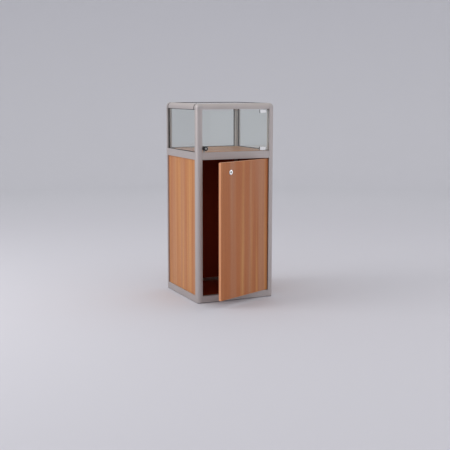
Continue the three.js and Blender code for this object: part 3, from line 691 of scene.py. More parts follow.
def glazing_rubber(name):
    """Black rubber with a dull skin and a little dust."""
    rubber = settings().glazing.rubber
    paint = Paint(name)
    skin = paint.noise((1300.0, 1300.0, 1300.0), detail=2.0)
    dust = paint.between(paint.noise((60.0, 60.0, 60.0), detail=4.0), 0.45, 0.8)
    dusty = opaque([level + 0.03 for level in rubber])
    return paint.finish({
        "Base Color": paint.mix(dust, opaque(rubber), dusty),
        "Roughness": 0.62 + (skin - 0.5) * 0.2 + dust * 0.1,
        "Normal": paint.bump(skin, 0.04 * MM),
    })


def polished_plating(name, plating):
    """Bright plating with hairline scratches."""
    paint = Paint(name)
    hairlines = paint.between(paint.noise((1600.0, 60.0, 500.0), detail=3.0), 0.55, 0.75)
    clouds = paint.noise((90.0, 90.0, 90.0), detail=2.0)
    darker = opaque([0.93 * level for level in plating])
    return paint.finish({
        "Base Color": paint.mix(clouds, opaque(plating), darker),
        "Metallic": 1.0,
        "Roughness": 0.12 + hairlines * 0.12 + (clouds - 0.5) * 0.06,
        "Normal": paint.bump(hairlines, 0.004 * MM),
    })


def plated_steel(name):
    """Zinc-plated steel: a soft spangle and a dull grey."""
    steel = settings().fitting.steel
    paint = Paint(name)
    spangle = paint.noise((260.0, 260.0, 260.0), detail=3.0, distortion=0.6)
    darker = opaque([0.78 * level for level in steel])
    return paint.finish({
        "Base Color": paint.mix(spangle, opaque(steel), darker),
        "Metallic": 1.0,
        "Roughness": 0.3 + (spangle - 0.5) * 0.24,
        "Normal": paint.bump(spangle, 0.01 * MM),
    })


def moulded_plastic(name, base, roughness):
    """Plastic with the fine grain of its mould."""
    paint = Paint(name)
    grain = paint.noise((1500.0, 1500.0, 1500.0), detail=2.0)
    rubbed = paint.between(paint.noise((120.0, 120.0, 120.0), detail=3.0), 0.5, 0.8)
    paler = opaque([level + 0.012 for level in base])
    return paint.finish({
        "Base Color": paint.mix(rubbed, opaque(base), paler),
        "Roughness": roughness + (grain - 0.5) * 0.14 - rubbed * 0.05,
        "Normal": paint.bump(grain, 0.02 * MM),
    })


def seamless_paper(name):
    """The pale floor, which turns a shade paler on its way out to the backdrop: painted light, which makes up for the
    dimmer light that reaches the far floor and the backdrop.
    """
    studio = settings().studio
    paint = Paint(name)
    fibre = paint.noise((6.0, 6.0, 6.0), detail=3.0)
    away = paint.node("ShaderNodeVectorMath", {0: paint.place}, output="Value", operation="LENGTH")
    return paint.finish({
        "Base Color": paint.mix(paint.between(away, 2.7, 5.2), opaque(studio.floor), opaque(studio.backdrop)),
        "Roughness": 0.75 + (fibre - 0.5) * 0.1,
        "Specular IOR Level": 0.2,
    })


def ajar_angle():
    return AJAR.to_euler().z


FINISHES = {
    "aluminium_upright": lambda name: anodised_aluminium(name, "Z"),
    "aluminium_crosswise": lambda name: anodised_aluminium(name, "X"),
    "aluminium_front_to_back": lambda name: anodised_aluminium(name, "Y"),
    "cast_corner": cast_aluminium,
    "beech_panel": beech,
    "beech_deck": lambda name: beech(name, grain="X", roughness=settings().board.deck_roughness),
    # The door takes more of the reddish bands than the panels, so it comes out redder and darker: partly a real
    # difference in tone, partly painted shade, as the door faces away from the key light.
    "beech_door": lambda name: beech(name, turn=ajar_angle(), ruddiness=0.75),
    "edge_band": lambda name: edge_band(name, ajar_angle()),
    "clear_glass": clear_glass,
    "glazing_rubber": glazing_rubber,
    "chrome": lambda name: polished_plating(name, settings().fitting.chrome),
    "nickel": lambda name: polished_plating(name, settings().fitting.nickel),
    "plated_steel": plated_steel,
    "black_plastic": lambda name: moulded_plastic(name, settings().fitting.black, 0.36),
    "nylon": lambda name: moulded_plastic(name, settings().fitting.nylon, 0.5),
    "seamless_paper": seamless_paper,
}


def finish(name):
    """The material of that name, made when it is first asked for."""
    label = f"finish_{name}"
    return bpy.data.materials.get(label) or FINISHES[name](label)


# ------------------------------------------------------------------ the frame of profiles

class MakePosts(bpy.types.Operator):
    """Make the four slotted posts, each rounded at its outer corner"""

    bl_idname = "display_case.make_posts"
    bl_label = "Make Posts"

    def execute(self, context):
        profile = settings().profile
        near, far = profile.slot_start, profile.slot_start + profile.slot_width
        bottom = PROFILE - profile.slot_depth
        chamfer = 2 * MM
        outline = rounded([
            (0, 0, profile.corner_radius), (PROFILE, 0, 0),
            (PROFILE, near, 0), (bottom, near, 0), (bottom, far, 0), (PROFILE, far, 0),
            (PROFILE, PROFILE - chamfer, 0), (PROFILE - chamfer, PROFILE, 0),
            (far, PROFILE, 0), (far, bottom, 0), (near, bottom, 0), (near, PROFILE, 0), (0, PROFILE, 0),
        ])
        to_corner = Matrix.Translation(POST_LOW)
        for corner, turn in POST_TURNS.items():
            run = POST_HIGH.z - POST_LOW.z
            post = bevelled(extruded(outline, run, "aluminium_upright"), profile.arris)
            moved(post, Matrix.Rotation(turn, 4, "Z"), to_corner)
            add_for_node(f"post_{corner}", post, "frame", "aluminium_upright")
        return {"FINISHED"}


def glass_seat():
    """The height of the rails' seat for the top glass, above their undersides."""
    rail_low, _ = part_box("top_rail_front")
    seal_low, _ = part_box("top_glass_seal")
    return seal_low.z - rail_low.z - FIT_GAP


def slot_below():
    """The start of a rail's outline: its outer face is at x = 0 and its underside at y = 0."""
    profile = settings().profile
    near, far, depth = profile.slot_start, profile.slot_start + profile.slot_width, profile.slot_depth
    return [(0, 0, 0), (near, 0, 0), (near, depth, 0), (far, depth, 0), (far, 0, 0)]


def slot_above(height):
    profile = settings().profile
    near, far = profile.slot_start, profile.slot_start + profile.slot_width
    bottom = height - profile.slot_depth
    return [(far, height, 0), (far, bottom, 0), (near, bottom, 0), (near, height, 0), (0, height, 0)]


def top_rail_outline():
    profile = settings().profile
    low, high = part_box("top_rail_front")
    height = high.z - low.z
    seat_edge, seat = PROFILE - profile.rebate_width, glass_seat()
    return rounded(slot_below() + [
        (PROFILE, 0, 0), (PROFILE, seat, 0), (seat_edge, seat, 0), (seat_edge, height, 0),
        (0, height, profile.corner_radius)])


def laid_along(side, mesh, start, height):
    """Lays a section that was run along Z into a side of the case, from `start` along it."""
    return moved(mesh, Matrix.Rotation(SIDE_TURNS[side], 4, "Z"), Matrix.Translation((start, -HALF, height)),
                 LAID_DOWN)


class MakeCorners(bpy.types.Operator):
    """Make the cast corners, rounded like a ball where the rails and the post meet"""

    bl_idname = "display_case.make_corners"
    bl_label = "Make Corners"

    def execute(self, context):
        for corner, turn in CORNER_TURNS.items():
            hand = Matrix.Diagonal((-1 if corner in MIRRORED_CORNERS else 1, 1, 1, 1))
            casting = moved(self.casting(), Matrix.Rotation(turn, 4, "Z"), hand)
            add_for_node(f"top_corner_{corner}", casting, "frame", "cast_corner")
        for side, ends in (("left", ("front", "rear")), ("right", ("rear", "front"))):
            self.add_shade_strips(side, ends)
        return {"FINISHED"}

    @staticmethod
    def add_shade_strips(side, ends):
        """Strips of black rubber between a side's top rail and the castings' arms: painted shade, which stands for the
        shadow line at these joints.
        """
        shade_strip = settings().profile.shade_strip
        low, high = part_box(f"top_rail_{side}")
        rail_end = (high.y - low.y) / 2
        for end, start in zip(ends, (rail_end, -rail_end - shade_strip)):
            run = extruded(top_rail_outline(), shade_strip, "glazing_rubber")
            rubber = laid_along(side, run, start, low.z)
            add_piece(f"corner_gasket_{side}_{end}", rubber, "frame", "glazing_rubber", [])

    @staticmethod
    def casting():
        """The front left casting, in its place."""
        profile = settings().profile
        rail_low, rail_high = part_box("top_rail_front")
        low = Vector((-HALF, -HALF, rail_low.z))
        arm = profile.corner_arm - profile.shade_strip
        high = low + Vector((PROFILE, arm, rail_high.z - rail_low.z))
        shape = bmesh.new()
        bmesh.ops.create_cube(shape, size=1.0, matrix=Matrix.LocRotScale((low + high) / 2, None, high - low))
        tip = min(shape.verts, key=lambda vert: vert.co.x + vert.co.y - vert.co.z)
        bmesh.ops.bevel(shape, geom=tip.link_edges, offset=profile.corner_radius, segments=16, profile=0.5,
                        affect="EDGES", clamp_overlap=True)
        over = 5 * MM
        near, far = profile.slot_start, profile.slot_start + profile.slot_width
        bottom = PROFILE - profile.slot_depth
        seat = PROFILE - profile.rebate_width
        at = lambda x, y, z: low + Vector((x, y, z))
        rebate = block(at(seat, seat, glass_seat()), high + Vector((over,) * 3))
        side_slot = block(at(near, bottom, -over), at(far, arm + over, profile.slot_depth))
        front_slot = block(at(bottom, near, -over), at(PROFILE + over, far, profile.slot_depth))
        cut = combined(as_mesh(shape), ("DIFFERENCE", rebate), ("DIFFERENCE", side_slot),
                       ("DIFFERENCE", front_slot))
        return bevelled(cut, profile.arris)


class MakeRails(bpy.types.Operator):
    """Make the top, middle and bottom rails of the four sides"""

    bl_idname = "display_case.make_rails"
    bl_label = "Make Rails"

    def execute(self, context):
        outlines = {"top": top_rail_outline(), "mid": self.middle_outline(), "bottom": self.bottom_outline()}
        for level, outline in outlines.items():
            for side in SIDE_TURNS:
                node = f"{level}_rail_{side}"
                low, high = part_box(node)
                run = max(high.x - low.x, high.y - low.y)
                lines = "crosswise" if side in ("front", "rear") else "front_to_back"
                finish_name = f"aluminium_{lines}"
                rail = bevelled(extruded(outline, run, finish_name), settings().profile.arris)
                add_for_node(node, laid_along(side, rail, -run / 2, low.z), "frame", finish_name)
        return {"FINISHED"}

    @staticmethod
    def middle_outline():
        profile = settings().profile
        low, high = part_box("mid_rail_front")
        height = high.z - low.z
        deck_low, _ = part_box("display_deck")
        ledge_top = deck_low.z - low.z - FIT_GAP
        box_back = profile.rail_box
        return rounded(slot_below() + [
            (box_back, 0, 0), (box_back, ledge_top - profile.ledge, 0), (PROFILE, ledge_top - profile.ledge, 0),
            (PROFILE, ledge_top, 0), (box_back, ledge_top, 0), (box_back, height, 0),
        ] + slot_above(height))

    @staticmethod
    def bottom_outline():
        profile = settings().profile
        low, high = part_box("bottom_rail_front")
        height = high.z - low.z
        return rounded([
            (0, 0, 0), (PROFILE, 0, 0), (PROFILE, profile.ledge, 0), (profile.rail_box, profile.ledge, 0),
            (profile.rail_box, height, 0),
        ] + slot_above(height))


# ------------------------------------------------------------------ boards, panes and seals

class MakeBoards(bpy.types.Operator):
    """Make the deck, the cabinet floor and the three fixed panels"""

    bl_idname = "display_case.make_boards"
    bl_label = "Make Boards"

    def execute(self, context):
        arris = settings().board.arris
        for node, finish_name in (("display_deck", "beech_deck"), ("cabinet_floor", "beech_deck")):
            low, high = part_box(node)
            board = extruded(self.notched_outline(high.x), high.z - low.z, finish_name)
            moved(board, Matrix.Translation((0, 0, low.z)))
            add_for_node(node, bevelled(board, arris), "frame", finish_name)
        for side in ("left", "right", "rear"):
            node = f"cabinet_panel_{side}"
            add_for_node(node, bevelled(block(*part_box(node)), arris), "frame", "beech_panel")
        return {"FINISHED"}

    @staticmethod
    def notched_outline(reach):
        """A square, notched round the four posts."""
        notch = HALF - PROFILE - FIT_GAP
        return rounded([(x, y, 0) for x, y in (
            (-notch, -reach), (notch, -reach), (notch, -notch), (reach, -notch), (reach, notch), (notch, notch),
            (notch, reach), (-notch, reach), (-notch, notch), (-reach, notch), (-reach, -notch), (-notch, -notch),
        )])


class MakeGlazing(bpy.types.Operator):
    """Make the fixed panes, the top glass and the rubber round them"""

    bl_idname = "display_case.make_glazing"
    bl_label = "Make Glazing"

    def execute(self, context):
        glazing = settings().glazing
        for side in ("left", "right", "rear"):
            pane, seal = f"glass_pane_{side}", f"pane_seal_{side}"
            add_for_node(pane, bevelled(block(*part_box(pane)), glazing.arris), "frame", "clear_glass")
            rubber = moved(self.channel(), Matrix.Rotation(SIDE_TURNS[side], 4, "Z"))
            add_for_node(seal, rubber, "frame", "glazing_rubber")
        top = bevelled(block(*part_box("top_glass")), glazing.arris)
        add_for_node("top_glass", top, "frame", "clear_glass")
        return {"FINISHED"}

    @staticmethod
    def channel():
        """The rubber channel round a pane, as it lies in the front: two lips on a web."""
        glazing = settings().glazing
        low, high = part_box("pane_seal_rear")
        middle = -(low.y + high.y) / 2
        leg = (high.y - low.y) / 2
        profile = settings().profile
        lip = high.x - (HALF - PROFILE) + glazing.seal_lip
        room = glazing.seal_room / 2
        round_edge, grip = 0.7 * MM, 0.15 * MM
        section = rounded([
            (0, -leg, 0), (lip, -leg, round_edge), (lip, -room + grip, round_edge / 2),
            (lip - 2 * MM, -room, 0), (glazing.seal_web, -room, 0),
            (glazing.seal_web, room, 0), (lip - 2 * MM, room, 0),
            (lip, room - grip, round_edge / 2), (lip, leg, round_edge), (0, leg, 0),
        ])
        return framed([(inwards, y + middle) for inwards, y in section], high.x, low.z, high.z)


# ------------------------------------------------------------------ the cabinet door and its lock

class MakeCabinetDoor(bpy.types.Operator):
    """Make the cabinet door's leaf and the band round its edges"""

    bl_idname = "display_case.make_cabinet_door"
    bl_label = "Make Cabinet Door"

    def execute(self, context):
        board = settings().board
        low, high = shut_box("cabinet_door")
        inset = Vector((board.edge_band, 0, board.edge_band))
        leaf = combined(block(low + inset, high - inset), *self.pin_bores(), self.lock_bore(low.y, high.y))
        leaf = moved(bevelled(leaf, 0.1 * MM), AJAR)
        add_for_node("cabinet_door", leaf, "cabinet_door", "beech_door")

        edge = 0.4 * board.edge_band
        section = rounded([(0, low.y, edge), (board.edge_band, low.y, 0), (board.edge_band, high.y, 0),
                           (0, high.y, edge)])
        band = framed(section, (high.x - low.x) / 2, low.z, high.z)
        moved(band, Matrix.Translation(((low.x + high.x) / 2, 0, 0)))
        band = moved(combined(band, *self.pin_bores()), AJAR)
        add_piece("cabinet_door_edge_band", band, "cabinet_door", "edge_band", [])
        return {"FINISHED"}

    @staticmethod
    def pin_bores():
        bores = []
        for node in ("cabinet_door_pin_lower", "cabinet_door_pin_upper"):
            low, high = shut_box(node)
            half = (high.z - low.z) / 2 + FIT_GAP
            bore = rod((high.x - low.x) / 2 + FIT_GAP, -half, half)
            bores.append(("DIFFERENCE", moved(bore, Matrix.Translation((low + high) / 2))))
        return bores

    @staticmethod
    def lock_bore(front, back):
        low, high = shut_box("cabinet_lock_housing")
        centre = (low + high) / 2
        bore = rod(settings().fitting.barrel_radius + FIT_GAP, front - 2 * MM, back + 2 * MM)
        return "DIFFERENCE", moved(bore, Matrix.Translation((centre.x, 0, centre.z)), POINTED_IN)


class MakeCabinetLock(bpy.types.Operator):
    """Make the cabinet door's cam lock: bezel, nut, plug with its keyway, cam and screw"""

    bl_idname = "display_case.make_cabinet_lock"
    bl_label = "Make Cabinet Lock"

    def execute(self, context):
        fitting = settings().fitting
        housing_low, housing_high = shut_box("cabinet_lock_housing")
        self.axis = (housing_low + housing_high) / 2
        self.add("cabinet_lock_housing", self.housing(housing_low, housing_high), "cabinet_door", "chrome", "chrome")
        self.add("cabinet_lock_nut", self.nut(), "cabinet_door", "plated_steel", "plated_steel")
        self.add("cabinet_lock_plug", self.plug(), "cabinet_lock", "plated_steel", "plated_steel")
        self.add("cabinet_lock_cam", self.cam(), "cabinet_lock", "plated_steel", "plated_steel")
        self.add("cabinet_lock_screw", self.screw(), "cabinet_lock", "plated_steel", "plated_steel")
        return {"FINISHED"}

    def add(self, node, mesh, body, slot, finish_name):
        add_for_node(node, moved(mesh, AJAR), body, finish_name)

    def pointed_in(self):
        return [Matrix.Translation((self.axis.x, 0, self.axis.z)), POINTED_IN]

    def housing(self, low, high):
        """A domed bezel on a barrel, bored for the plug."""
        bore, barrel_radius = settings().fitting.lock_bore, settings().fitting.barrel_radius
        flange_radius, flange = (high.x - low.x) / 2, 2.5 * MM
        rim = 1.1 * MM
        dome = []
        dome_steps = 10
        for step in range(dome_steps + 1):
            angle = math.pi / 2 * step / dome_steps
            radius = bore + 1.6 * MM + (flange_radius - bore - 1.6 * MM) * math.cos(angle)
            dome.append((radius, low.y + flange - rim - (flange - rim) * math.sin(angle)))
        outline = [(barrel_radius, high.y), (barrel_radius, low.y + flange), (flange_radius - 0.3 * MM, low.y + flange),
                   (flange_radius, low.y + flange - 0.3 * MM)] + dome
        outline += [(bore + 0.6 * MM, low.y), (bore, low.y + 0.5 * MM), (bore, high.y)]
        return moved(turned(outline), *self.pointed_in())

    def nut(self):
        low, high = shut_box("cabinet_lock_nut")
        radius = (high.z - low.z) / 2
        hexagon = [(radius * math.sin(math.pi / 3 * side), radius * math.cos(math.pi / 3 * side)) for side in range(6)]
        bar = extruded(hexagon, high.y - low.y, "plated_steel")
        moved(bar, Matrix.Translation((0, 0, low.y)))
        bore = rod(settings().fitting.barrel_radius + FIT_GAP, low.y - MM, high.y + MM)
        return moved(bevelled(combined(bar, ("DIFFERENCE", bore)), 0.5 * MM), *self.pointed_in())

    def plug(self):
        fitting = settings().fitting
        low, high = shut_box("cabinet_lock_plug")
        radius = fitting.lock_bore - 0.3 * MM
        barrel_end = shut_box("cabinet_lock_housing")[1].y
        tenon = 3.5 * MM
        barrel = rod(radius, low.y, barrel_end + 0.1 * MM, edge=0.6 * MM, steps=64)
        square_end = block((-tenon, -tenon, barrel_end - MM), (tenon, tenon, high.y))
        keyway = block((-fitting.keyway_width / 2, -fitting.keyway_height / 2, low.y - MM),
                       (fitting.keyway_width / 2, fitting.keyway_height / 2, low.y + 6 * MM))
        plug = combined(barrel, ("UNION", square_end), ("DIFFERENCE", keyway))
        return moved(bevelled(plug, 0.15 * MM), *self.pointed_in())

    def cam(self):
        low, high = shut_box("cabinet_lock_cam")
        tip = high.x - self.axis.x
        return moved(cam_plate(tip, (high.z - low.z) / 2, high.y - low.y, 3.8 * MM),
                     Matrix.Translation((self.axis.x, high.y, self.axis.z)),
                     Matrix.Rotation(math.pi / 2, 4, "X"))

    def screw(self):
        low, high = shut_box("cabinet_lock_screw")
        radius = (high.x - low.x) / 2
        head = 2 * MM
        steps = 8
        dome = [(radius * math.cos(math.pi / 2 * step / steps), high.y - head * 0.6 + head * 0.6
                 * math.sin(math.pi / 2 * step / steps)) for step in range(steps + 1)]
        outline = [(0, low.y), (1.5 * MM, low.y), (1.5 * MM, high.y - head), (radius, high.y - head)] + dome
        arm, half = 2.6 * MM, 0.5 * MM
        cross = [("DIFFERENCE", block((-x, -y, high.y - 1.1 * MM), (x, y, high.y + MM)))
                 for x, y in ((arm, half), (half, arm))]
        return moved(combined(turned(outline, steps=36), *cross), *self.pointed_in())


def cam_plate(reach, half_width, thickness, half_hole):
    """A cam along +X in the XY plane: round at the lock, narrowing to its tip, with a square hole."""
    steps, tip = 24, 0.7 * half_width
    round_end = [(half_width * math.cos(angle), half_width * math.sin(angle), 0)
                 for angle in (math.pi / 2 + math.pi * step / steps for step in range(steps + 1))]
    outline = rounded([(reach, -tip, 1.5 * MM), (reach, tip, 1.5 * MM)] + round_end)
    plate = extruded(outline, thickness, "plated_steel")
    hole = block((-half_hole, -half_hole, -MM), (half_hole, half_hole, thickness + MM))
    return bevelled(combined(plate, ("DIFFERENCE", hole)), 0.25 * MM)


# ------------------------------------------------------------------ the glass door and its lock

class MakeGlassDoor(bpy.types.Operator):
    """Make the glass door, its two hinge clamps and their grub screws"""

    bl_idname = "display_case.make_glass_door"
    bl_label = "Make Glass Door"

    def execute(self, context):
        low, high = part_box("glass_door")
        lock_low, lock_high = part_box("glass_lock_case")
        lock_x, lock_z = (lock_low.x + lock_high.x) / 2, (lock_low.z + lock_high.z) / 2
        bore = moved(rod(9 * MM, low.y - MM, high.y + MM, steps=64), Matrix.Translation((lock_x, 0, lock_z)), POINTED_IN)
        leaf = bevelled(combined(block(low, high), ("DIFFERENCE", bore)), settings().glazing.arris)
        add_for_node("glass_door", leaf, "glass_door", "clear_glass")
        for place, up in (("upper", 1), ("lower", -1)):
            node = f"glass_hinge_{place}"
            add_for_node(node, self.clamp(node, low, high, up), "glass_door", "nickel")
            self.add_screws(place, node, low, high, up)
        return {"FINISHED"}

    def clamp(self, node, glass_low, glass_high, up):
        """A clamp over the glass's end, with the pin that it swings on."""
        fitting = settings().fitting
        low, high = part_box(node)
        gap = 0.3 * MM
        cap, height, mouth = gap + fitting.clamp_skin, fitting.clamp_height, gap
        end = glass_high.z if up > 0 else glass_low.z
        front, back = low.y, high.y
        mouth_front, mouth_back = glass_low.y - gap, glass_high.y + gap
        corner = 1.2 * MM
        outline = rounded([
            (front, cap - height, corner), (mouth_front, cap - height, 0), (mouth_front, mouth, 0),
            (mouth_back, mouth, 0), (mouth_back, cap - height, 0), (back, cap - height, corner),
            (back, cap, corner), (front, cap, corner),
        ])
        body = bevelled(extruded(outline, fitting.clamp_width, "nickel"), fitting.clamp_edge, segments=3)
        moved(body, Matrix.Translation((low.x, 0, end)), Matrix.Diagonal((1, 1, up, 1)), LAID_DOWN)
        pin_x, pin_y, _ = joint_named("glass_door_hinge")["pos_m"]
        reach = (high.z - end) if up > 0 else (end - low.z)
        pin = rod(2 * MM, 0.5 * MM, reach, edge=0.4 * MM)
        moved(pin, Matrix.Translation((pin_x, pin_y, end)), Matrix.Diagonal((1, 1, up, 1)))
        return combined(body, ("UNION", pin))

    def add_screws(self, place, node, glass_low, glass_high, up):
        fitting = settings().fitting
        low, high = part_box(node)
        end = glass_high.z if up > 0 else glass_low.z
        middle = end + up * (fitting.clamp_skin - fitting.clamp_height / 2)
        spacing = fitting.clamp_width / 2
        first = Vector(((low.x + high.x - spacing) / 2, high.y, middle))
        screw = scratch_object(self.grub_screw())
        screws = grown(row_grower, "plated_steel",
                       {"Piece": screw, "Count": 2, "First": first, "Step": (spacing, 0, 0)})
        bpy.data.objects.remove(screw)
        add_piece(f"grub_screws_{place}", screws, "glass_door", "plated_steel", [])

    @staticmethod
    def grub_screw():
        """A screw that ends just proud of the clamp's back, with a six-sided socket."""
        radius = settings().fitting.screw_radius
        proud, sunk = 0.25 * MM, 2 * MM
        socket = 1.15 * MM
        hexagon = [(socket * math.cos(math.pi / 3 * side), socket * math.sin(math.pi / 3 * side)) for side in range(6)]
        body = rod(radius, -sunk, proud, edge=0.2 * MM, steps=32)
        recess = extruded(hexagon, 2 * MM, "plated_steel")
        moved(recess, Matrix.Translation((0, 0, -1.4 * MM)))
        return moved(combined(body, ("DIFFERENCE", recess)), POINTED_IN)


class MakeGlassLock(bpy.types.Operator):
    """Make the glass door's lock: round case, ring nut, plug with its keyway, and cam"""

    bl_idname = "display_case.make_glass_lock"
    bl_label = "Make Glass Lock"

    def execute(self, context):
        low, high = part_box("glass_lock_case")
        self.axis = (low + high) / 2
        self.pointed_in = [Matrix.Translation((self.axis.x, 0, self.axis.z)), POINTED_IN]
        add_for_node("glass_lock_case", self.case(low, high), "glass_door", "black_plastic")
        add_for_node("glass_lock_nut", self.nut(), "glass_door", "black_plastic")
        add_for_node("glass_lock_plug", self.plug(), "glass_lock", "plated_steel")
        add_for_node("glass_lock_cam", self.cam(), "glass_lock", "plated_steel")
        return {"FINISHED"}

    def case(self, low, high):
        radius = (high.x - low.x) / 2
        bore, shank = 6.3 * MM, 8.7 * MM
        glass_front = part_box("glass_door")[0].y - 0.3 * MM
        groove, groove_depth = 4 * MM, 0.5 * MM
        outline = rounded([
            (bore, high.y, 0), (bore, low.y + 0.6 * MM, 0.3 * MM), (bore + MM, low.y, 0.3 * MM),
            (radius - 2 * MM, low.y, 0.6 * MM), (radius, low.y + 2 * MM, 0.8 * MM),
            (radius, low.y + groove, 0), (radius - groove_depth, low.y + groove + 0.3 * MM, 0),
            (radius - groove_depth, low.y + groove + 0.9 * MM, 0), (radius, low.y + groove + 1.2 * MM, 0),
            (radius, glass_front, 0.3 * MM), (shank, glass_front, 0), (shank, high.y, 0),
        ])
        return moved(turned(outline), *self.pointed_in)

    def nut(self):
        """A ring nut with the notches that its spanner grips."""
        low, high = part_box("glass_lock_nut")
        radius, bore = (high.x - low.x) / 2, 9 * MM
        edge = 0.3 * MM
        ring = turned(rounded([(bore, low.y, 0), (radius, low.y, edge), (radius, high.y, edge), (bore, high.y, 0)]))
        notches = []
        for turn in (0, math.pi / 2, math.pi, 3 * math.pi / 2):
            notch = block((radius - 1.4 * MM, -1.5 * MM, low.y - MM), (radius + MM, 1.5 * MM, high.y + MM))
            notches.append(("DIFFERENCE", moved(notch, Matrix.Rotation(turn + math.pi / 4, 4, "Z"))))
        return moved(combined(ring, *notches), *self.pointed_in)

    def plug(self):
        fitting = settings().fitting
        low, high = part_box("glass_lock_plug")
        radius, tenon = 6 * MM, 3 * MM
        barrel_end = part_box("glass_lock_nut")[1].y + 0.15 * MM
        barrel = rod(radius, low.y, barrel_end, edge=0.8 * MM, steps=64)
        square_end = block((-tenon, -tenon, barrel_end - MM), (tenon, tenon, high.y))
        keyway = block((-fitting.keyway_width / 2, -fitting.keyway_height / 2, low.y - MM),
                       (fitting.keyway_width / 2, fitting.keyway_height / 2, low.y + 6 * MM))
        plug = combined(barrel, ("UNION", square_end), ("DIFFERENCE", keyway))
        return moved(bevelled(plug, 0.15 * MM), *self.pointed_in)

    def cam(self):
        low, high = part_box("glass_lock_cam")
        reach, half_width = self.axis.z - low.z, (high.x - low.x) / 2
        plate = cam_plate(reach, half_width, high.y - low.y, 3.3 * MM)
        return moved(plate, Matrix.Translation((self.axis.x, high.y, self.axis.z)),
                     Matrix.Rotation(math.pi / 2, 4, "X"), Matrix.Rotation(-math.pi / 2, 4, "Z"))


# ------------------------------------------------------------------ small parts

class MakeSmallParts(bpy.types.Operator):
    """Make the glides and the door stops, and finish the parts that stay as the frame has them"""

    bl_idname = "display_case.make_small_parts"
    bl_label = "Make Small Parts"

    def execute(self, context):
        for corner in POST_TURNS:
            node = f"glide_{corner}"
            add_for_node(node, self.glide(*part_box(node)), "frame", "black_plastic")
        for node in ("cabinet_door_stop_lower", "cabinet_door_stop_upper", "glass_door_stop"):
            stop = bevelled(block(*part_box(node)), 1.2 * MM, segments=4)
            add_for_node(node, stop, "frame", "glazing_rubber")
        self.paint_kept_nodes()
        return {"FINISHED"}

    @staticmethod
    def glide(low, high):
        """A foot with a rounded edge, on the stem that is knocked into the post."""
        radius, foot, stem, edge = (high.x - low.x) / 2, 2.7 * MM, 4.5 * MM, 0.8 * MM
        outline = rounded([(0, low.z, 0), (radius, low.z, edge), (radius, low.z + foot, edge / 2),
                           (stem, low.z + foot, 0), (stem, high.z, edge), (0, high.z, 0)])
        centre = (low + high) / 2
        return moved(turned(outline), Matrix.Translation((centre.x, centre.y, 0)))

    @staticmethod
    def paint_kept_nodes():
        kept = {
            "cabinet_door_pin_lower": "plated_steel",
            "cabinet_door_pin_upper": "plated_steel",
            "cabinet_door_washer": "nylon",
            "cabinet_pivot_block_lower": "nylon",
            "cabinet_pivot_block_upper": "nylon",
            "glass_pivot_block_lower": "nylon",
            "glass_pivot_block_upper": "nylon",
            "top_glass_seal": "glazing_rubber",
        }
        for node, finish_name in kept.items():
            piece = frame["nodes"][node]
            piece.data.materials.clear()
            piece.data.materials.append(finish(finish_name))


# ------------------------------------------------------------------ the studio

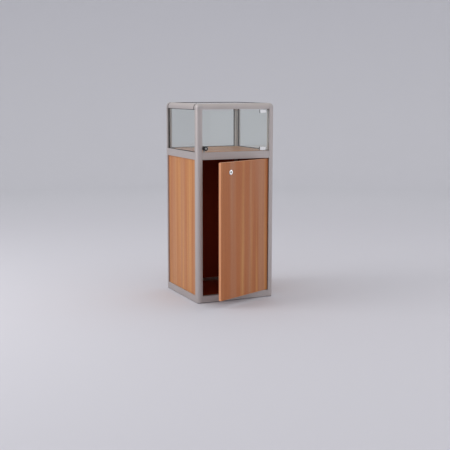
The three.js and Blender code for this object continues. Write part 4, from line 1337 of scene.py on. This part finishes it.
class MakeStudio(bpy.types.Operator):
    """Make the pale floor and backdrop, the soft lights and the camera"""

    bl_idname = "display_case.make_studio"
    bl_label = "Make Studio"

    def execute(self, context):
        self.add_backdrop()
        self.add_lights()
        self.add_camera()
        context.scene.view_settings.view_transform = "Standard"
        return {"FINISHED"}

    @staticmethod
    def add_backdrop():
        """One seamless bowl: a round floor that curves up into a backdrop all round."""
        studio = settings().studio
        bend, steps = 2.5, 24
        rim = studio.floor_reach + bend
        outline = [(0.0, 0.0), (studio.floor_reach, 0.0)]
        outline += [(studio.floor_reach + bend * math.sin(math.pi / 2 * step / steps),
                     bend - bend * math.cos(math.pi / 2 * step / steps)) for step in range(1, steps + 1)]
        outline.append((rim, studio.backdrop_height))
        shape = bmesh.new()
        verts = [shape.verts.new((radius, 0.0, height)) for radius, height in outline]
        edges = [shape.edges.new(pair) for pair in zip(verts, verts[1:])]
        bmesh.ops.spin(shape, geom=verts + edges, cent=(0, 0, 0), axis=(0, 0, 1), angle=2 * math.pi,
                       steps=96, use_merge=True)
        bmesh.ops.remove_doubles(shape, verts=shape.verts, dist=1e-5)
        bmesh.ops.dissolve_degenerate(shape, edges=shape.edges, dist=1e-6)
        bmesh.ops.recalc_face_normals(shape, faces=shape.faces)
        mesh = bpy.data.meshes.new("backdrop")
        shape.to_mesh(mesh)
        shape.free()
        mesh.polygons.foreach_set("use_smooth", [True] * len(mesh.polygons))
        mesh.materials.append(finish("seamless_paper"))
        backdrop = bpy.data.objects.new("backdrop", mesh)
        bpy.context.scene.collection.objects.link(backdrop)

    def add_lights(self):
        studio = settings().studio
        world = bpy.data.worlds.new("even light")
        world.use_nodes = True
        world.node_tree.nodes["Background"].inputs["Color"].default_value = (1.0, 1.0, 1.0, 1.0)
        world.node_tree.nodes["Background"].inputs["Strength"].default_value = studio.sky
        bpy.context.scene.world = world
        middle = Vector((0.0, 0.0, 0.55))
        self.add_soft_light("key", (-3.6, 0.6, 2.2), middle, 2.4, studio.key_power)
        self.add_soft_light("fill", (1.7, -3.8, 1.6), middle, 2.4, studio.fill_power)
        self.add_soft_light("side", (3.6, -1.25, 0.7), middle, 1.4, studio.side_power)

    @staticmethod
    def add_soft_light(name, place, target, size, power):
        lamp = bpy.data.lights.new(name, "AREA")
        lamp.shape = "SQUARE"
        lamp.size = size
        lamp.energy = power
        light = bpy.data.objects.new(name, lamp)
        light.visible_transmission = False      # or it would be a white square behind the glass
        light.location = place
        light.rotation_euler = (target - Vector(place)).to_track_quat("-Z", "Y").to_euler()
        bpy.context.scene.collection.objects.link(light)

    @staticmethod
    def add_camera():
        studio = settings().studio
        lens = bpy.data.cameras.new("camera")
        lens.sensor_width = 36.0
        lens.lens = studio.lens
        camera = bpy.data.objects.new("camera", lens)
        level = Matrix.Rotation(-studio.yaw, 4, "Z") @ Matrix.Rotation(math.pi / 2 - studio.pitch, 4, "X")
        camera.matrix_world = Matrix.Translation(studio.place) @ level @ Matrix.Rotation(studio.roll, 4, "Z")
        bpy.context.scene.collection.objects.link(camera)
        bpy.context.scene.camera = camera


# ------------------------------------------------------------------ the add-on

OPERATORS = (MakePosts, MakeCorners, MakeRails, MakeBoards, MakeGlazing, MakeCabinetDoor, MakeCabinetLock,
             MakeGlassDoor, MakeGlassLock, MakeSmallParts, MakeStudio)


class DisplayCasePanel(bpy.types.Panel):
    """The steps that build the display case, in order"""

    bl_idname = "VIEW3D_PT_display_case"
    bl_label = "Display Case"
    bl_space_type = "VIEW_3D"
    bl_region_type = "UI"
    bl_category = "Display Case"

    def draw(self, context):
        for operator in OPERATORS:
            self.layout.operator(operator.bl_idname)


CLASSES = (ProfileSettings, BoardSettings, GlazingSettings, FittingSettings, StudioSettings, CaseSettings,
           *OPERATORS, DisplayCasePanel)


def register():
    for cls in CLASSES:
        bpy.utils.register_class(cls)
    bpy.types.Scene.display_case = PointerProperty(type=CaseSettings)


def unregister():
    del bpy.types.Scene.display_case
    for cls in reversed(CLASSES):
        bpy.utils.unregister_class(cls)


def main():
    register()
    for operator in OPERATORS:
        _, step = operator.bl_idname.split(".")
        getattr(bpy.ops.display_case, step)()


if __name__ == "__main__":
    main()
